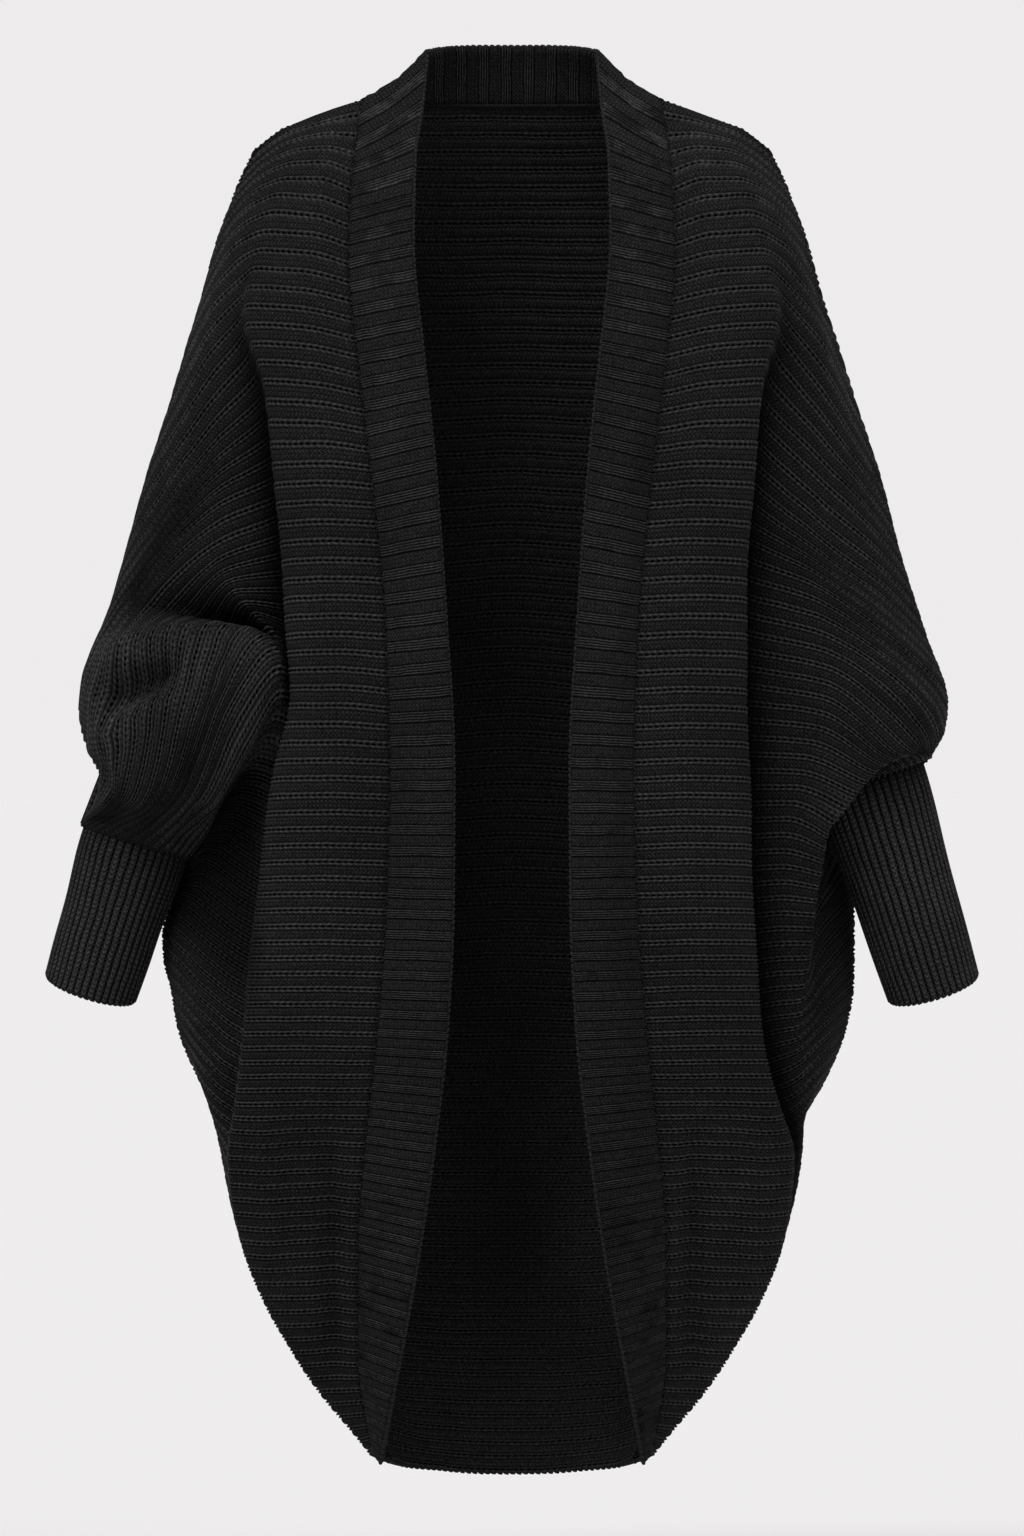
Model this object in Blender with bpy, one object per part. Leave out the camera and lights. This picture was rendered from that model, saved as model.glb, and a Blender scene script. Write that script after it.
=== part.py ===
"""Long open-front cardigan in chunky rib knit, in its worn, filled-out form.

The cloth is knitted sideways, so its ribs run from the front opening, over the roll
of each front, across the batwing sleeve and round to the back. Every panel is a grid:
one direction counts the ribs from the shoulder down to the hem, the other runs along
a rib. Guide lines, each a short table of rib number and place, carry the form.
Lengths are millimetres in the tables and metres in the meshes.
+X is the wearer's left, -Y is the front, +Z is up, and the origin is the middle of
the base of the neck.
"""

import math

import bpy
import numpy as np

MM = 0.001

# Cloth
WALL = 3.6            # thickness of the knit between its ribs
RIB_RISE = 2.0        # height of a rib over the groove beside it
SEAM_GAP = 0.36       # clear space left between two pieces at a seam
LEAST_CHORD = 0.05    # shortest step counted along a rib

# Ribs
BODY_RIBS = 84        # from the shoulder line down to the hem
FRONT_BAND_RIBS = 65  # from the shoulder down to the hem
NECK_BAND_RIBS = 10   # round the back of the neck
SLEEVE_RIBS = 40      # round the forearm
RIBS_PER_INNER_ROW = 2

# Forearm sleeve: a tapered tube on a straight axis from the elbow to the cuff
TUBE_TOP = (249.5, 1.0, -471.0)
TUBE_CUFF = (294.9, 4.0, -617.5)
TUBE_TOP_RADIUS = 41.0
CUFF_DROP = 7.0            # how much lower the cuff hangs at its front than at its middle
TUBE_CUFF_RADIUS = 34.5
TUBE_WALL = 3.0
TUBE_RIB_RISE = 1.3
TUBE_GAP = 0.6              # clear space between the tube's upper rim and its ring
TUBE_INSET = 1.8           # how far the tube's grooves lie inside the ring it is sewn to
RIGHT_TUBE_START = 0.30    # share of the axis where the wearer's right tube begins

KNIT_COLOURS = {
    "front": (0.020, 0.020, 0.021, 1.0),
    "back": (0.018, 0.018, 0.019, 1.0),
    "sleeve": (0.021, 0.021, 0.022, 1.0),
    "band": (0.023, 0.023, 0.024, 1.0),
}
KNIT_ROUGHNESS = 0.92

# Guide lines shared by both sides: (rib, x, y, z), x counted outward from the middle
BAND_SEAM = (
    (0, 104.6, 12, 3.5), (2, 109, -20, -26), (4, 112, -48, -52), (8, 114, -88, -104),
    (14, 107, -118, -182), (20, 98, -134, -259), (28, 88, -142, -363),
    (36, 85, -142, -463), (44, 87, -138, -555), (52, 93, -128, -641),
    (60, 101, -108, -718), (68, 107, -76, -796), (76, 107, -36, -873),
    (84, 97, 6, -943),
)
FREE_EDGE = (
    (0, 60, 10, 38.5), (2, 63, -20, 2), (4, 68, -58, -36), (8, 69, -98, -94),
    (14, 62, -130, -173), (20, 54, -146, -248.5), (28, 46, -153, -357.5),
    (36, 40.5, -156, -462), (44, 41, -154, -556), (52, 45, -148, -643),
    (60, 54, -134, -724), (68, 66, -110, -806), (76, 80, -74, -882),
    (84, 93, -32, -949),
)

# How far the band's middle stands forward, and in toward the neck: (ribs), (mm)
BAND_BULGE = ((0, 4, 12, 60, 84), (0, 3, 5, 5, 3))
BAND_HOLLOW = ((0, 4, 10), (4.5, 2, 0))

# How far the neck band's middle stands back and in: (share of the way round), (mm)
NECK_BULGE = ((0.0, 0.8, 1.0), (2.0, 2.0, 0.0))
NECK_HOLLOW = ((0.0, 0.6, 1.0), (0.0, 0.0, 4.5))

# How far the roll between band seam and crest stands forward and up: (ribs), (mm)
ROLL_BULGE = ((0, 8, 20, 42, 52, 62, 72, 84), (0, 10, 18, 18, 12, 5, 5, 2))
ROLL_LIFT = ((0, 4, 16, 84), (0.5, 4, 2, 0))

# Guide lines of the wearer's left front, a plain batwing that blouses over the forearm
LEFT_GUIDES = {
    "crest": (
        (0, 136, 12, -8.5), (4, 152, -38, -45), (8, 168, -76, -95), (12, 182, -98, -146),
        (16, 173, -110, -198), (20, 167, -117, -257), (28, 161, -122, -363),
        (36, 163, -122, -463), (44, 166, -116, -555), (52, 172, -104, -640),
        (58, 184, -86, -700), (62, 194, -62, -737), (68, 186.5, -28, -796),
        (76, 151.5, 4, -874), (84, 97.5, 22, -945),
    ),
    "trough": (
        (0, 150, 12, -13), (4, 168, -24, -50), (8, 186, -58, -101), (12, 186, -82, -152),
        (16, 172, -84, -206), (20, 165, -80, -265), (28, 159, -74, -370),
        (36, 161, -68, -468), (44, 164, -60, -559), (52, 171, -50, -643),
        (58, 184, -40, -699), (62, 196, -30, -734), (68, 187.3, -14, -795.5),
        (76, 151.7, 11, -873.6), (84, 96.8, 27, -945.6),
    ),
    "wing": (
        (0, 160, 13, -18), (4, 184, -12, -62), (8, 202, -40, -118), (12, 218, -60, -192),
        (16, 212, -68, -250), (20, 210, -70, -303), (24, 212, -72, -339),
        (28, 222, -71, -386), (33, 212, -72, -438), (36, 200, -70, -469),
        (42, 188, -64, -535), (48, 186, -56, -599), (52, 184, -50, -640),
        (55, 186, -46, -668), (58, 193, -38, -696), (62, 199, -24, -729),
        (68, 188, -5, -794.5), (76, 151.5, 17, -873), (84, 95.8, 31, -946.2),
    ),
    "edge": (
        (0, 169, 13, -24), (4, 194, 0, -72), (8, 214, -9, -138), (12, 247, -12, -244),
        (16, 264, -12, -308), (20, 281, -12, -362), (24, 299, -14, -412),
        (26, 298, -26, -431), (28, 287, -38, -443), (30.5, 272, -48, -453),
        (33, 257, -54, -462), (36, 238, -58, -483), (38.5, 221, -58, -509),
        (42, 214, -56, -540), (48, 205, -52, -598), (52, 199, -47, -638),
        (55, 198, -41, -663), (58, 201, -32, -690), (62, 202, -17, -722),
        (68, 188, 2, -793), (76, 151, 21, -872.5), (84, 94.5, 35, -947),
    ),
    "tuck": (
        (0, 173, 13, -27), (4, 199, 7, -78), (8, 220, 1, -147), (12, 256, 1, -263),
        (16, 272, 1, -322), (20, 289, 1, -373), (24, 303, 1, -419),
        (26, 300, -8, -440), (28, 289, -20, -450), (30.5, 279, -30, -453),
        (33, 263, -38, -456), (36, 242, -46, -466), (38.5, 224, -44, -485),
        (42, 213, -40, -508), (46, 206, -36, -560), (48, 207, -35, -580),
        (52, 214, -32, -621), (55, 214, -28, -648), (58, 212, -22, -678),
        (62, 201, -8, -714), (68, 187, 12, -790), (76, 148.5, 27, -871),
        (84, 92, 39, -949),
    ),
}

# Guide lines of the wearer's right front, whose batwing has slid into a pouch
RIGHT_GUIDES = {
    "crest": (
        (0, 136, 12, -8.5), (4, 152, -38, -45), (8, 168, -76, -95), (12, 183, -98, -146),
        (16, 171, -110, -198), (20, 164, -117, -257), (28, 155.5, -122, -363),
        (32, 152.5, -122, -411), (36, 163, -120, -463), (44, 176, -114, -555),
        (52, 185, -102, -641), (58, 191, -86, -700), (62, 196, -62, -737),
        (68, 186.5, -28, -796), (76, 151.5, 4, -874), (84, 97.5, 22, -945),
    ),
    "trough": (
        (0, 147, 12, -12), (4, 166, -27, -49), (8, 184, -61, -100), (12, 186, -84, -152),
        (16, 171, -84, -206), (20, 163, -80, -264), (28, 154, -74, -368),
        (33, 151, -74, -430), (36, 161, -60, -467), (44, 175, -44, -556),
        (52, 185, -40, -641), (58, 191, -35, -697), (62, 197, -28, -733),
        (68, 187.3, -14, -795.5), (76, 151.7, 11, -873.6), (84, 96.8, 27, -945.6),
    ),
    "wing": (
        (0, 157, 13, -17), (4, 180, -14, -57), (8, 200, -44, -113), (12, 210, -62, -180),
        (16, 206, -68, -240), (20, 205, -71, -284), (23, 202, -76, -320),
        (26, 190, -78, -342), (28, 176, -74, -358), (30, 158, -76, -384),
        (33, 153, -84, -425), (36, 164, -52, -464), (44, 187, -36, -549),
        (52, 197, -33, -634), (58, 202, -32, -690), (62, 200, -22, -728),
        (68, 187.9, -6, -794.8), (76, 151.6, 15, -873.3), (84, 96.2, 29.5, -946),
    ),
    "crease": (
        (0, 164, 13, -21), (4, 189, -5, -66), (8, 209, -26, -127), (12, 230, -42, -212),
        (16, 246, -46, -293), (19, 261, -42, -335), (21, 258, -44, -347),
        (23, 237, -46, -353), (26, 207, -44, -362), (28, 183, -46, -369),
        (30, 163, -84, -381), (31.5, 156, -100, -396), (33, 155, -97, -417),
        (34.5, 159, -74, -441), (36, 169, -46, -461), (44, 198, -30, -541), (52, 209, -27, -624),
        (58, 210, -26, -682), (62, 203, -16, -722), (68, 188.2, -1, -794),
        (76, 151.4, 18.5, -872.9), (84, 95.5, 31.5, -946.4),
    ),
    "ridge": (
        (0, 169, 13, -24), (4, 195, 2, -73), (8, 215, -12, -138), (12, 244, -20, -238),
        (16, 270, -24, -328), (19, 285, -38, -372), (21, 276, -64, -378),
        (23, 256, -80, -372), (26, 222, -94, -366), (28, 196, -102, -367),
        (30, 173, -112, -377), (31.5, 163, -116, -391), (33, 161, -106, -415),
        (34.5, 168, -77, -437), (36, 179, -42, -459), (44, 207, -24, -534), (52, 219, -21, -615),
        (58, 216, -19, -674), (62, 206, -10, -715), (68, 188, 5, -792.6),
        (76, 150.9, 21.5, -872.4), (84, 94.5, 34, -947),
    ),
    "pouch": (
        (0, 173, 13, -27), (4, 199, 8, -79), (8, 220, 0, -149), (12, 254, -4, -262),
        (16, 283, -8, -362), (19, 299, -20, -404), (21, 290, -56, -420),
        (23, 266, -80, -424), (26, 236, -96, -420), (28, 216, -103, -419),
        (30, 201, -107, -418), (31.5, 191, -106, -427), (33, 182, -95, -446),
        (34.5, 188, -68, -458), (36, 197, -38, -474), (44, 216, -18, -530), (52, 227, -14, -606),
        (58, 221, -10, -666), (62, 205.5, -3, -709), (68, 187.3, 11, -790.6),
        (76, 150.1, 25, -871.6), (84, 92.8, 37, -948),
    ),
    "gather": (
        (0, 175, 13, -29), (4, 201, 11, -83), (8, 222, 8, -157), (12, 258, 7, -282),
        (16, 288, 4, -382), (19, 301, -4, -425), (21, 290, -30, -466),
        (23, 278, -54, -484), (26, 253, -66, -483), (28, 239, -69, -482),
        (30, 227, -70, -482), (31.5, 217, -66, -483), (33, 207, -56, -488),
        (34.5, 211, -42, -495), (36, 214, -27, -506), (44, 222, -9, -535), (52, 236, -5, -597),
        (58, 225, 3, -659), (62, 205.5, 6, -704), (68, 186, 17, -787.6),
        (76, 148, 29, -870), (84, 90.6, 40.5, -949.4),
    ),
}

# Overarm seam, from the shoulder point to the elbow: (x, y, z)
OVERARM_SEAM = (
    (179, 13, -31), (192.5, 14, -60), (204, 14, -100), (217.5, 14, -150), (236, 14, -210),
    (258, 14, -285), (279, 14, -355), (294, 14, -400), (300, 13, -424),
)
LEFT_ELBOW = ((296, 9, -444),)
RIGHT_ELBOW = ((294, 10, -446), (287, 8, -466), (290, 3, -486))

# Shoulder seam, from the neck point over the shoulder to its tip: (x, y, z)
SHOULDER_SEAM = ((104.6, 12, 3.5), (160, 12.7, -16.5), (179, 13, -31))
SHOULDER_INWARD = ((-0.45, 0.0, -0.89), (-0.47, 0.0, -0.88))
TIP_INWARD = (-0.15, 0.0, -1.0)     # at the shoulder's tip
ARM_INWARD = (-1.0, -0.3, -0.2)     # from TIP_TURN below the tip downward
TIP_TURN = 60.0
CUFF_TURN_TOP = -390.0              # where the wall starts to turn toward the forearm
SIDE_INWARD = (-1.0, 0.15, 0.0)
SEAM_STEP = 4.0                     # spacing of the points that give a seam's direction

# Side seam, from the underarm to the hem: (x, y, z)
LEFT_UNDERARM = (
    (208, 8, -491), (221, 20, -513), (234, 27, -539), (238.5, 27, -562), (238.5, 23, -588),
)
RIGHT_UNDERARM = (
    (222.5, 4, -536.5), (230, 17, -547), (239, 22, -562), (243.5, 23, -580), (242.5, 21.5, -599),
)
SIDE_SEAM = (
    (238, 20, -616), (233, 19, -645), (219, 19, -680), (199, 19, -715), (188, 20, -750),
    (184, 24, -784), (170, 29, -826), (146, 34, -868), (114, 39, -911), (86, 44, -951),
)

# Which rib of a panel reaches which height of the overarm seam: (rib, z)
LEFT_OVERARM_RIBS = (
    (0, -31), (4, -80), (8, -150), (10, -215), (12, -270), (15, -318), (18, -355),
    (21, -390), (24, -424), (26, -445), (27, -459),
)
RIGHT_OVERARM_RIBS = (
    (0, -31), (4, -80), (8, -150), (12, -290), (16, -370), (19, -420), (20, -440),
    (21, -466), (22, -507),
)
# Ribs between which a panel meets the forearm tube, and the rib at the hem
LEFT_CUFF_RIBS = (27, 46)
RIGHT_CUFF_RIBS = (22, 38)

# Side seam heights of the ribs below the underarm: (rib, z)
LEFT_SIDE_RIBS = (
    (46, -484), (48, -540), (50, -570), (52, -596), (55, -630), (58, -660), (62, -700),
    (68, -784), (76, -868), (84, -951),
)
RIGHT_SIDE_RIBS = (
    (38, -529), (44, -542), (48, -560), (52, -590), (56, -632), (60, -680), (64, -730),
    (68, -784), (76, -868), (84, -951),
)

# Back panel: (rib, x, y, z) lines outward from the middle
BACK_MIDDLE = (
    (0, 0, 66, 3.5), (4, 0, 82, -45), (8, 0, 94, -95), (14, 0, 106, -170),
    (20, 0, 111, -245), (30, 0, 112, -370), (40, 0, 108, -490), (50, 0, 104, -610),
    (60, 0, 100, -720), (70, 0, 94, -822), (78, 0, 88, -902), (84, 0, 84, -960),
)
BACK_SPINE = (
    (0, 38, 62.5, 3.5), (4, 38, 80, -45), (8, 38, 92, -96), (14, 39, 104, -171),
    (20, 40, 110, -247), (30, 41, 111, -373), (40, 41, 107, -492), (50, 39, 103, -611),
    (60, 36, 99, -720), (70, 32, 93, -822), (78, 26, 87.5, -902), (84, 18, 83, -959.8),
)
BACK_BLADE = (
    (0, 73, 50, 3.5), (4, 75, 73, -44), (8, 77, 87, -96), (14, 79, 100, -172),
    (20, 81, 106, -250), (30, 83, 108, -377), (40, 83, 103, -495), (50, 79, 99, -612),
    (60, 73, 95, -719), (70, 63, 90, -821), (78, 51, 85, -901), (84, 35, 80, -959),
)
BACK_NECK_POINT = (
    (0, 104.6, 12, 3.5), (4, 113, 56, -42), (8, 120, 76, -95), (14, 128, 90, -176),
    (20, 133, 96, -257), (30, 137, 97, -388), (40, 136, 92, -502), (50, 129, 88, -612),
    (60, 117, 84, -712), (70, 100, 79, -815), (78, 80, 76, -899), (84, 54, 71, -957),
)
BACK_WING = (
    (0, 160, 12.7, -16.5), (4, 164, 36, -52), (8, 174, 52, -108), (14, 200, 62, -208),
    (20, 226, 62, -308), (26, 240, 58, -396), (32, 232, 56, -448), (38, 218, 55, -497),
    (44, 208, 54, -548), (50, 206, 52, -602), (56, 198, 50, -650), (62, 180, 50, -702),
    (70, 152, 56, -802), (78, 116, 62, -886), (84, 76, 58, -954.5),
)

# Neck band: half of its seam and of its top edge, from the middle of the back to the
# shoulder line: (share of the way round, x, y, z)
NECK_SEAM = (
    (0, 0, 66, 3.5), (1 / 3, 38, 62.5, 3.5), (2 / 3, 73, 50, 3.5), (1, 104.6, 12, 3.5),
)
NECK_TOP = (
    (0, 0, 53, 43), (1 / 3, 23, 51, 43), (2 / 3, 43, 41, 42.2), (5 / 6, 53, 28, 40.6),
    (1, 60, 10, 38.5),
)


# Neck: the middle of the neck from front to back, and how far its walls lean inward
NECK_AXIS_Y = 5.0
NECK_LEAN = 0.65
BAND_TOP_INWARD = (-0.62, 0.0, -0.79)
BAND_TOP_SHARE = 0.6        # how far the band's middle leans like its top edge


def monotone_slopes(steps, values):
    """Slopes for a cubic through values that never swings past a table's own rows."""
    widths = np.diff(steps)
    rises = np.diff(values, axis=0) / widths[:, None]
    slopes = np.zeros_like(values)
    slopes[0] = rises[0]
    slopes[-1] = rises[-1]
    for i in range(1, len(steps) - 1):
        before, after = rises[i - 1], rises[i]
        weight_a = 2 * widths[i] + widths[i - 1]
        weight_b = widths[i] + 2 * widths[i - 1]
        same_way = before * after > 0
        safe_before = np.where(same_way, before, 1.0)
        safe_after = np.where(same_way, after, 1.0)
        mean = (weight_a + weight_b) / (weight_a / safe_before + weight_b / safe_after)
        slopes[i] = np.where(same_way, mean, 0.0)
    return slopes


def smooth_through(steps, values, wanted):
    """Values read from the monotone cubic through (steps, values) at each wanted step."""
    steps = np.asarray(steps, float)
    values = np.asarray(values, float)
    wanted = np.clip(np.asarray(wanted, float), steps[0], steps[-1])
    slopes = monotone_slopes(steps, values)
    span = np.clip(np.searchsorted(steps, wanted, side="right") - 1, 0, len(steps) - 2)
    width = steps[span + 1] - steps[span]
    t = ((wanted - steps[span]) / width)[:, None]
    width = width[:, None]
    start = (1 + 2 * t) * (1 - t) ** 2 * values[span] + t * (1 - t) ** 2 * width * slopes[span]
    end = t * t * (3 - 2 * t) * values[span + 1] + t * t * (t - 1) * width * slopes[span + 1]
    return start + end


def straight_through(steps, values, wanted):
    """Values read straight between a table's rows."""
    return np.stack([np.interp(wanted, steps, column) for column in values.T], axis=1)


def along_guide(rows, wanted):
    """Points of a guide line, a table of (rib, x, y, z), at the wanted ribs."""
    table = np.array(rows, float)
    return smooth_through(table[:, 0], table[:, 1:], wanted)


def unit(vectors):
    """The vectors scaled to length one."""
    return vectors / np.maximum(np.linalg.norm(vectors, axis=-1, keepdims=True), 1e-9)


class Tube:
    """The tapered forearm tube between two shares of its axis."""

    def __init__(self, start_share):
        top, cuff = np.array(TUBE_TOP), np.array(TUBE_CUFF)
        self.start = top + (cuff - top) * start_share
        self.end = cuff
        self.start_radius = TUBE_TOP_RADIUS + (TUBE_CUFF_RADIUS - TUBE_TOP_RADIUS) * start_share
        self.end_radius = TUBE_CUFF_RADIUS
        self.axis = unit(self.end - self.start)
        self.outward = unit(np.array([1.0, 0.0, 0.0]) - self.axis[0] * self.axis)
        self.forward = np.cross(self.outward, self.axis)
        if self.forward[1] > 0:
            self.forward = -self.forward

    def radial(self, turn):
        """Unit vectors at each turn: 0 is the outer side, pi/2 the front, pi the inner side."""
        turn = np.asarray(turn, float)[..., None]
        return np.cos(turn) * self.outward + np.sin(turn) * self.forward

    def ring(self, turn):
        """Points of the tube's upper rim."""
        return self.start + self.start_radius * self.radial(turn)


class Side:
    """One side's seams, laid out along the ribs of a panel."""

    def __init__(self, start_share, elbow, underarm, overarm_ribs, cuff_ribs, side_ribs):
        self.tube = Tube(start_share)
        self.overarm_ribs = np.array(overarm_ribs, float)
        self.cuff_ribs = cuff_ribs
        self.side_ribs = np.array(side_ribs, float)
        outer = tuple(self.tube.ring(0.0))
        inner = tuple(self.tube.ring(math.pi))
        self.overarm = np.array(OVERARM_SEAM + tuple(elbow) + (outer,), float)
        self.side = np.array((inner,) + tuple(underarm) + SIDE_SEAM, float)

    @staticmethod
    def at_height(line, heights):
        """Points of a seam line that falls from its first point to its last."""
        return smooth_through(-line[:, 2], line, -np.asarray(heights, float))

    @staticmethod
    def stretched(table, line):
        """The table's heights fitted to the seam line's own first and last heights."""
        share = (table[:, 1] - table[0, 1]) / (table[-1, 1] - table[0, 1])
        return line[0, 2] + share * (line[-1, 2] - line[0, 2])

    def seam(self, ribs, cuff_turn):
        """Seam points and inward directions for the ribs of one panel.

        cuff_turn is pi for a front panel, whose ribs meet the front of the tube, and
        -pi for the back panel.
        """
        first, last = self.cuff_ribs
        arm_heights = self.stretched(self.overarm_ribs, self.overarm)
        side_heights = self.stretched(self.side_ribs, self.side)
        points = []
        inward = []
        for rib in ribs:
            if rib <= first:
                ribs_here = self.overarm_ribs[:, 0]
                height = smooth_through(ribs_here, arm_heights[:, None], [rib])[0, 0]
                points.append(self.at_height(self.overarm, [height])[0])
                inward.append(self.overarm_inward(height))
            elif rib < last:
                turn = cuff_turn * (rib - first) / (last - first)
                points.append(self.tube.ring(turn))
                inward.append(-self.tube.radial(turn))
            else:
                ribs_here = self.side_ribs[:, 0]
                height = smooth_through(ribs_here, side_heights[:, None], [rib])[0, 0]
                points.append(self.at_height(self.side, [height])[0])
                inward.append(self.side_inward(height))
        return np.array(points), np.array(inward)

    def overarm_inward(self, height):
        """Direction from the overarm seam into the arm, square to the seam."""
        here, below = self.at_height(self.overarm, [height, height - SEAM_STEP])
        along = unit(below - here)
        bend = np.clip((self.overarm[0, 2] - height) / TIP_TURN, 0.0, 1.0)
        toward = (1 - bend) * np.array(TIP_INWARD) + bend * np.array(ARM_INWARD)
        toward = unit(toward - toward.dot(along) * along)
        turn_length = CUFF_TURN_TOP - self.overarm[-1, 2]
        cuff_share = np.clip((CUFF_TURN_TOP - height) / turn_length, 0.0, 1.0)
        return unit((1 - cuff_share) * toward - cuff_share * self.tube.radial(0.0))

    def side_inward(self, height):
        """Direction from the side seam into the body, square to the seam."""
        height = max(height, self.side[-1, 2] + SEAM_STEP)
        here, below = self.at_height(self.side, [height, height - SEAM_STEP])
        along = unit(below - here)
        toward = np.array(SIDE_INWARD)
        return unit(toward - toward.dot(along) * along)


LEFT = Side(0.0, LEFT_ELBOW, LEFT_UNDERARM,
            LEFT_OVERARM_RIBS, LEFT_CUFF_RIBS, LEFT_SIDE_RIBS)
RIGHT = Side(RIGHT_TUBE_START, RIGHT_ELBOW, RIGHT_UNDERARM,
             RIGHT_OVERARM_RIBS, RIGHT_CUFF_RIBS, RIGHT_SIDE_RIBS)


def on_shoulder(points):
    """Points moved up or down onto the shoulder seam, and the ways their wall goes in."""
    seam = np.array(SHOULDER_SEAM)
    tip_inward = LEFT.overarm_inward(seam[-1, 2])
    inward = np.array(SHOULDER_INWARD + (tuple(tip_inward),))
    moved = points.copy()
    ways = np.zeros_like(points)
    for axis in range(3):
        if axis:
            moved[:, axis] = np.interp(points[:, 0], seam[:, 0], seam[:, axis])
        ways[:, axis] = np.interp(points[:, 0], seam[:, 0], inward[:, axis])
    return moved, unit(ways)


def front_stations(ribs, is_left):
    """Guide points of one front for each rib, from the band seam to the outer seam."""
    side = LEFT if is_left else RIGHT
    guides = LEFT_GUIDES if is_left else RIGHT_GUIDES
    seam = along_guide(BAND_SEAM, ribs)
    lines = {name: along_guide(rows, ribs) for name, rows in guides.items()}
    crest = lines["crest"]
    bulge = np.interp(ribs, ROLL_BULGE[0], ROLL_BULGE[1])
    roll = 0.5 * (seam + crest)
    roll[:, 1] -= bulge
    roll[:, 2] += np.interp(ribs, ROLL_LIFT[0], ROLL_LIFT[1])
    outer, inward = side.seam(ribs, math.pi)
    stations = [seam, roll] + [lines[name] for name in guides] + [outer]
    return np.stack(stations, axis=1), inward


def back_stations(ribs):
    """Guide points of the back for each rib, from its right seam to its left seam."""
    outer_left, inward_left = LEFT.seam(ribs, -math.pi)
    outer_right, inward_right = RIGHT.seam(ribs, -math.pi)
    mirror = np.array([-1.0, 1.0, 1.0])
    half = [along_guide(rows, ribs) for rows in
            (BACK_SPINE, BACK_BLADE, BACK_NECK_POINT, BACK_WING)]
    right = [outer_right * mirror] + [line * mirror for line in reversed(half)]
    stations = right + [along_guide(BACK_MIDDLE, ribs)] + half + [outer_left]
    return np.stack(stations, axis=1), inward_right * mirror, inward_left


def neck_inward(points):
    """The ways the wall goes in along the seam between back and neck band."""
    ways = np.array([[0.0, NECK_AXIS_Y, 0.0]]) - points
    ways[:, 2] = -NECK_LEAN * np.linalg.norm(ways[:, :2], axis=1)
    return unit(ways)


def along_ribs(stations, places):
    """Points along each rib at the wanted places; a place counts stations."""
    rows = []
    for points in stations:
        chords = np.linalg.norm(np.diff(points, axis=0), axis=1)
        lengths = np.concatenate(([0.0], np.cumsum(np.maximum(chords, LEAST_CHORD))))
        wanted = np.interp(places, range(len(points)), lengths)
        rows.append(smooth_through(lengths, points, wanted))
    return np.array(rows)


def grid_normals(points):
    """Unit normals of a grid whose first axis runs down and second axis outward."""
    down = np.gradient(points, axis=0)
    across = np.gradient(points, axis=1)
    return unit(np.cross(down, across))


def pull_in(points, distance):
    """Moves the grid's four borders in by a distance, which leaves the seam gap."""
    moved = points.copy()
    moved[0] += distance * unit(points[1] - points[0])
    moved[-1] += distance * unit(points[-2] - points[-1])
    moved[:, 0] += distance * unit(points[:, 1] - points[:, 0])
    moved[:, -1] += distance * unit(points[:, -2] - points[:, -1])
    return moved


def rib_wave(ribs):
    """Height of the knit over its grooves: nothing on a whole rib, most between two."""
    return RIB_RISE * np.abs(np.sin(math.pi * np.asarray(ribs)))


def edge_strip(outer, inner, flip):
    """Triangles between an outer border and a coarser inner one of the same length."""
    faces = []
    i = j = 0
    while i < len(outer) - 1 or j < len(inner) - 1:
        ahead_outer = (i + 1) / (len(outer) - 1)
        ahead_inner = (j + 1) / (len(inner) - 1)
        if j == len(inner) - 1 or (i < len(outer) - 1 and ahead_outer <= ahead_inner):
            face = (outer[i], outer[i + 1], inner[j])
            i += 1
        else:
            face = (outer[i], inner[j + 1], inner[j])
            j += 1
        faces.append(face[::-1] if flip else face)
    return faces


def closed_wall(outer, inner, mirrored):
    """Vertices and faces of a wall between an outer grid and an inner one."""
    rows, columns = outer.shape[:2]
    inner_rows = inner.shape[0]
    points = np.concatenate([outer.reshape(-1, 3), inner.reshape(-1, 3)])
    first_inner = rows * columns

    def out(i, j):
        return i * columns + j

    def back(i, j):
        return first_inner + i * columns + j

    faces = []
    for i in range(rows - 1):
        for j in range(columns - 1):
            faces.append((out(i, j), out(i + 1, j), out(i + 1, j + 1), out(i, j + 1)))
    for i in range(inner_rows - 1):
        for j in range(columns - 1):
            faces.append((back(i, j), back(i, j + 1), back(i + 1, j + 1), back(i + 1, j)))
    for j in range(columns - 1):
        faces.append((out(0, j), out(0, j + 1), back(0, j + 1), back(0, j)))
        last, last_inner = rows - 1, inner_rows - 1
        faces.append((out(last, j), back(last_inner, j), back(last_inner, j + 1), out(last, j + 1)))
    for column, flip in ((0, True), (columns - 1, False)):
        outer_line = [out(i, column) for i in range(rows)]
        inner_line = [back(i, column) for i in range(inner_rows)]
        faces.extend(edge_strip(outer_line, inner_line, flip))
    if mirrored:
        points = points * np.array([-1.0, 1.0, 1.0])
        faces = [face[::-1] for face in faces]
    return points * MM, faces


def knit_material(name, colour):
    """A matt woollen finish."""
    material = bpy.data.materials.new(name)
    material.use_nodes = True
    shader = material.node_tree.nodes["Principled BSDF"]
    shader.inputs["Base Color"].default_value = colour
    shader.inputs["Roughness"].default_value = KNIT_ROUGHNESS
    shader.inputs["Metallic"].default_value = 0.0
    material.diffuse_color = colour
    return material


def add_piece(name, points, faces, material):
    """Adds one named piece of cloth to the scene."""
    mesh = bpy.data.meshes.new(name)
    mesh.from_pydata([tuple(point) for point in points], [], faces)
    mesh.update()
    mesh.shade_flat()
    mesh.materials.append(material)
    piece = bpy.data.objects.new(name, mesh)
    bpy.context.scene.collection.objects.link(piece)
    return piece


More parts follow.
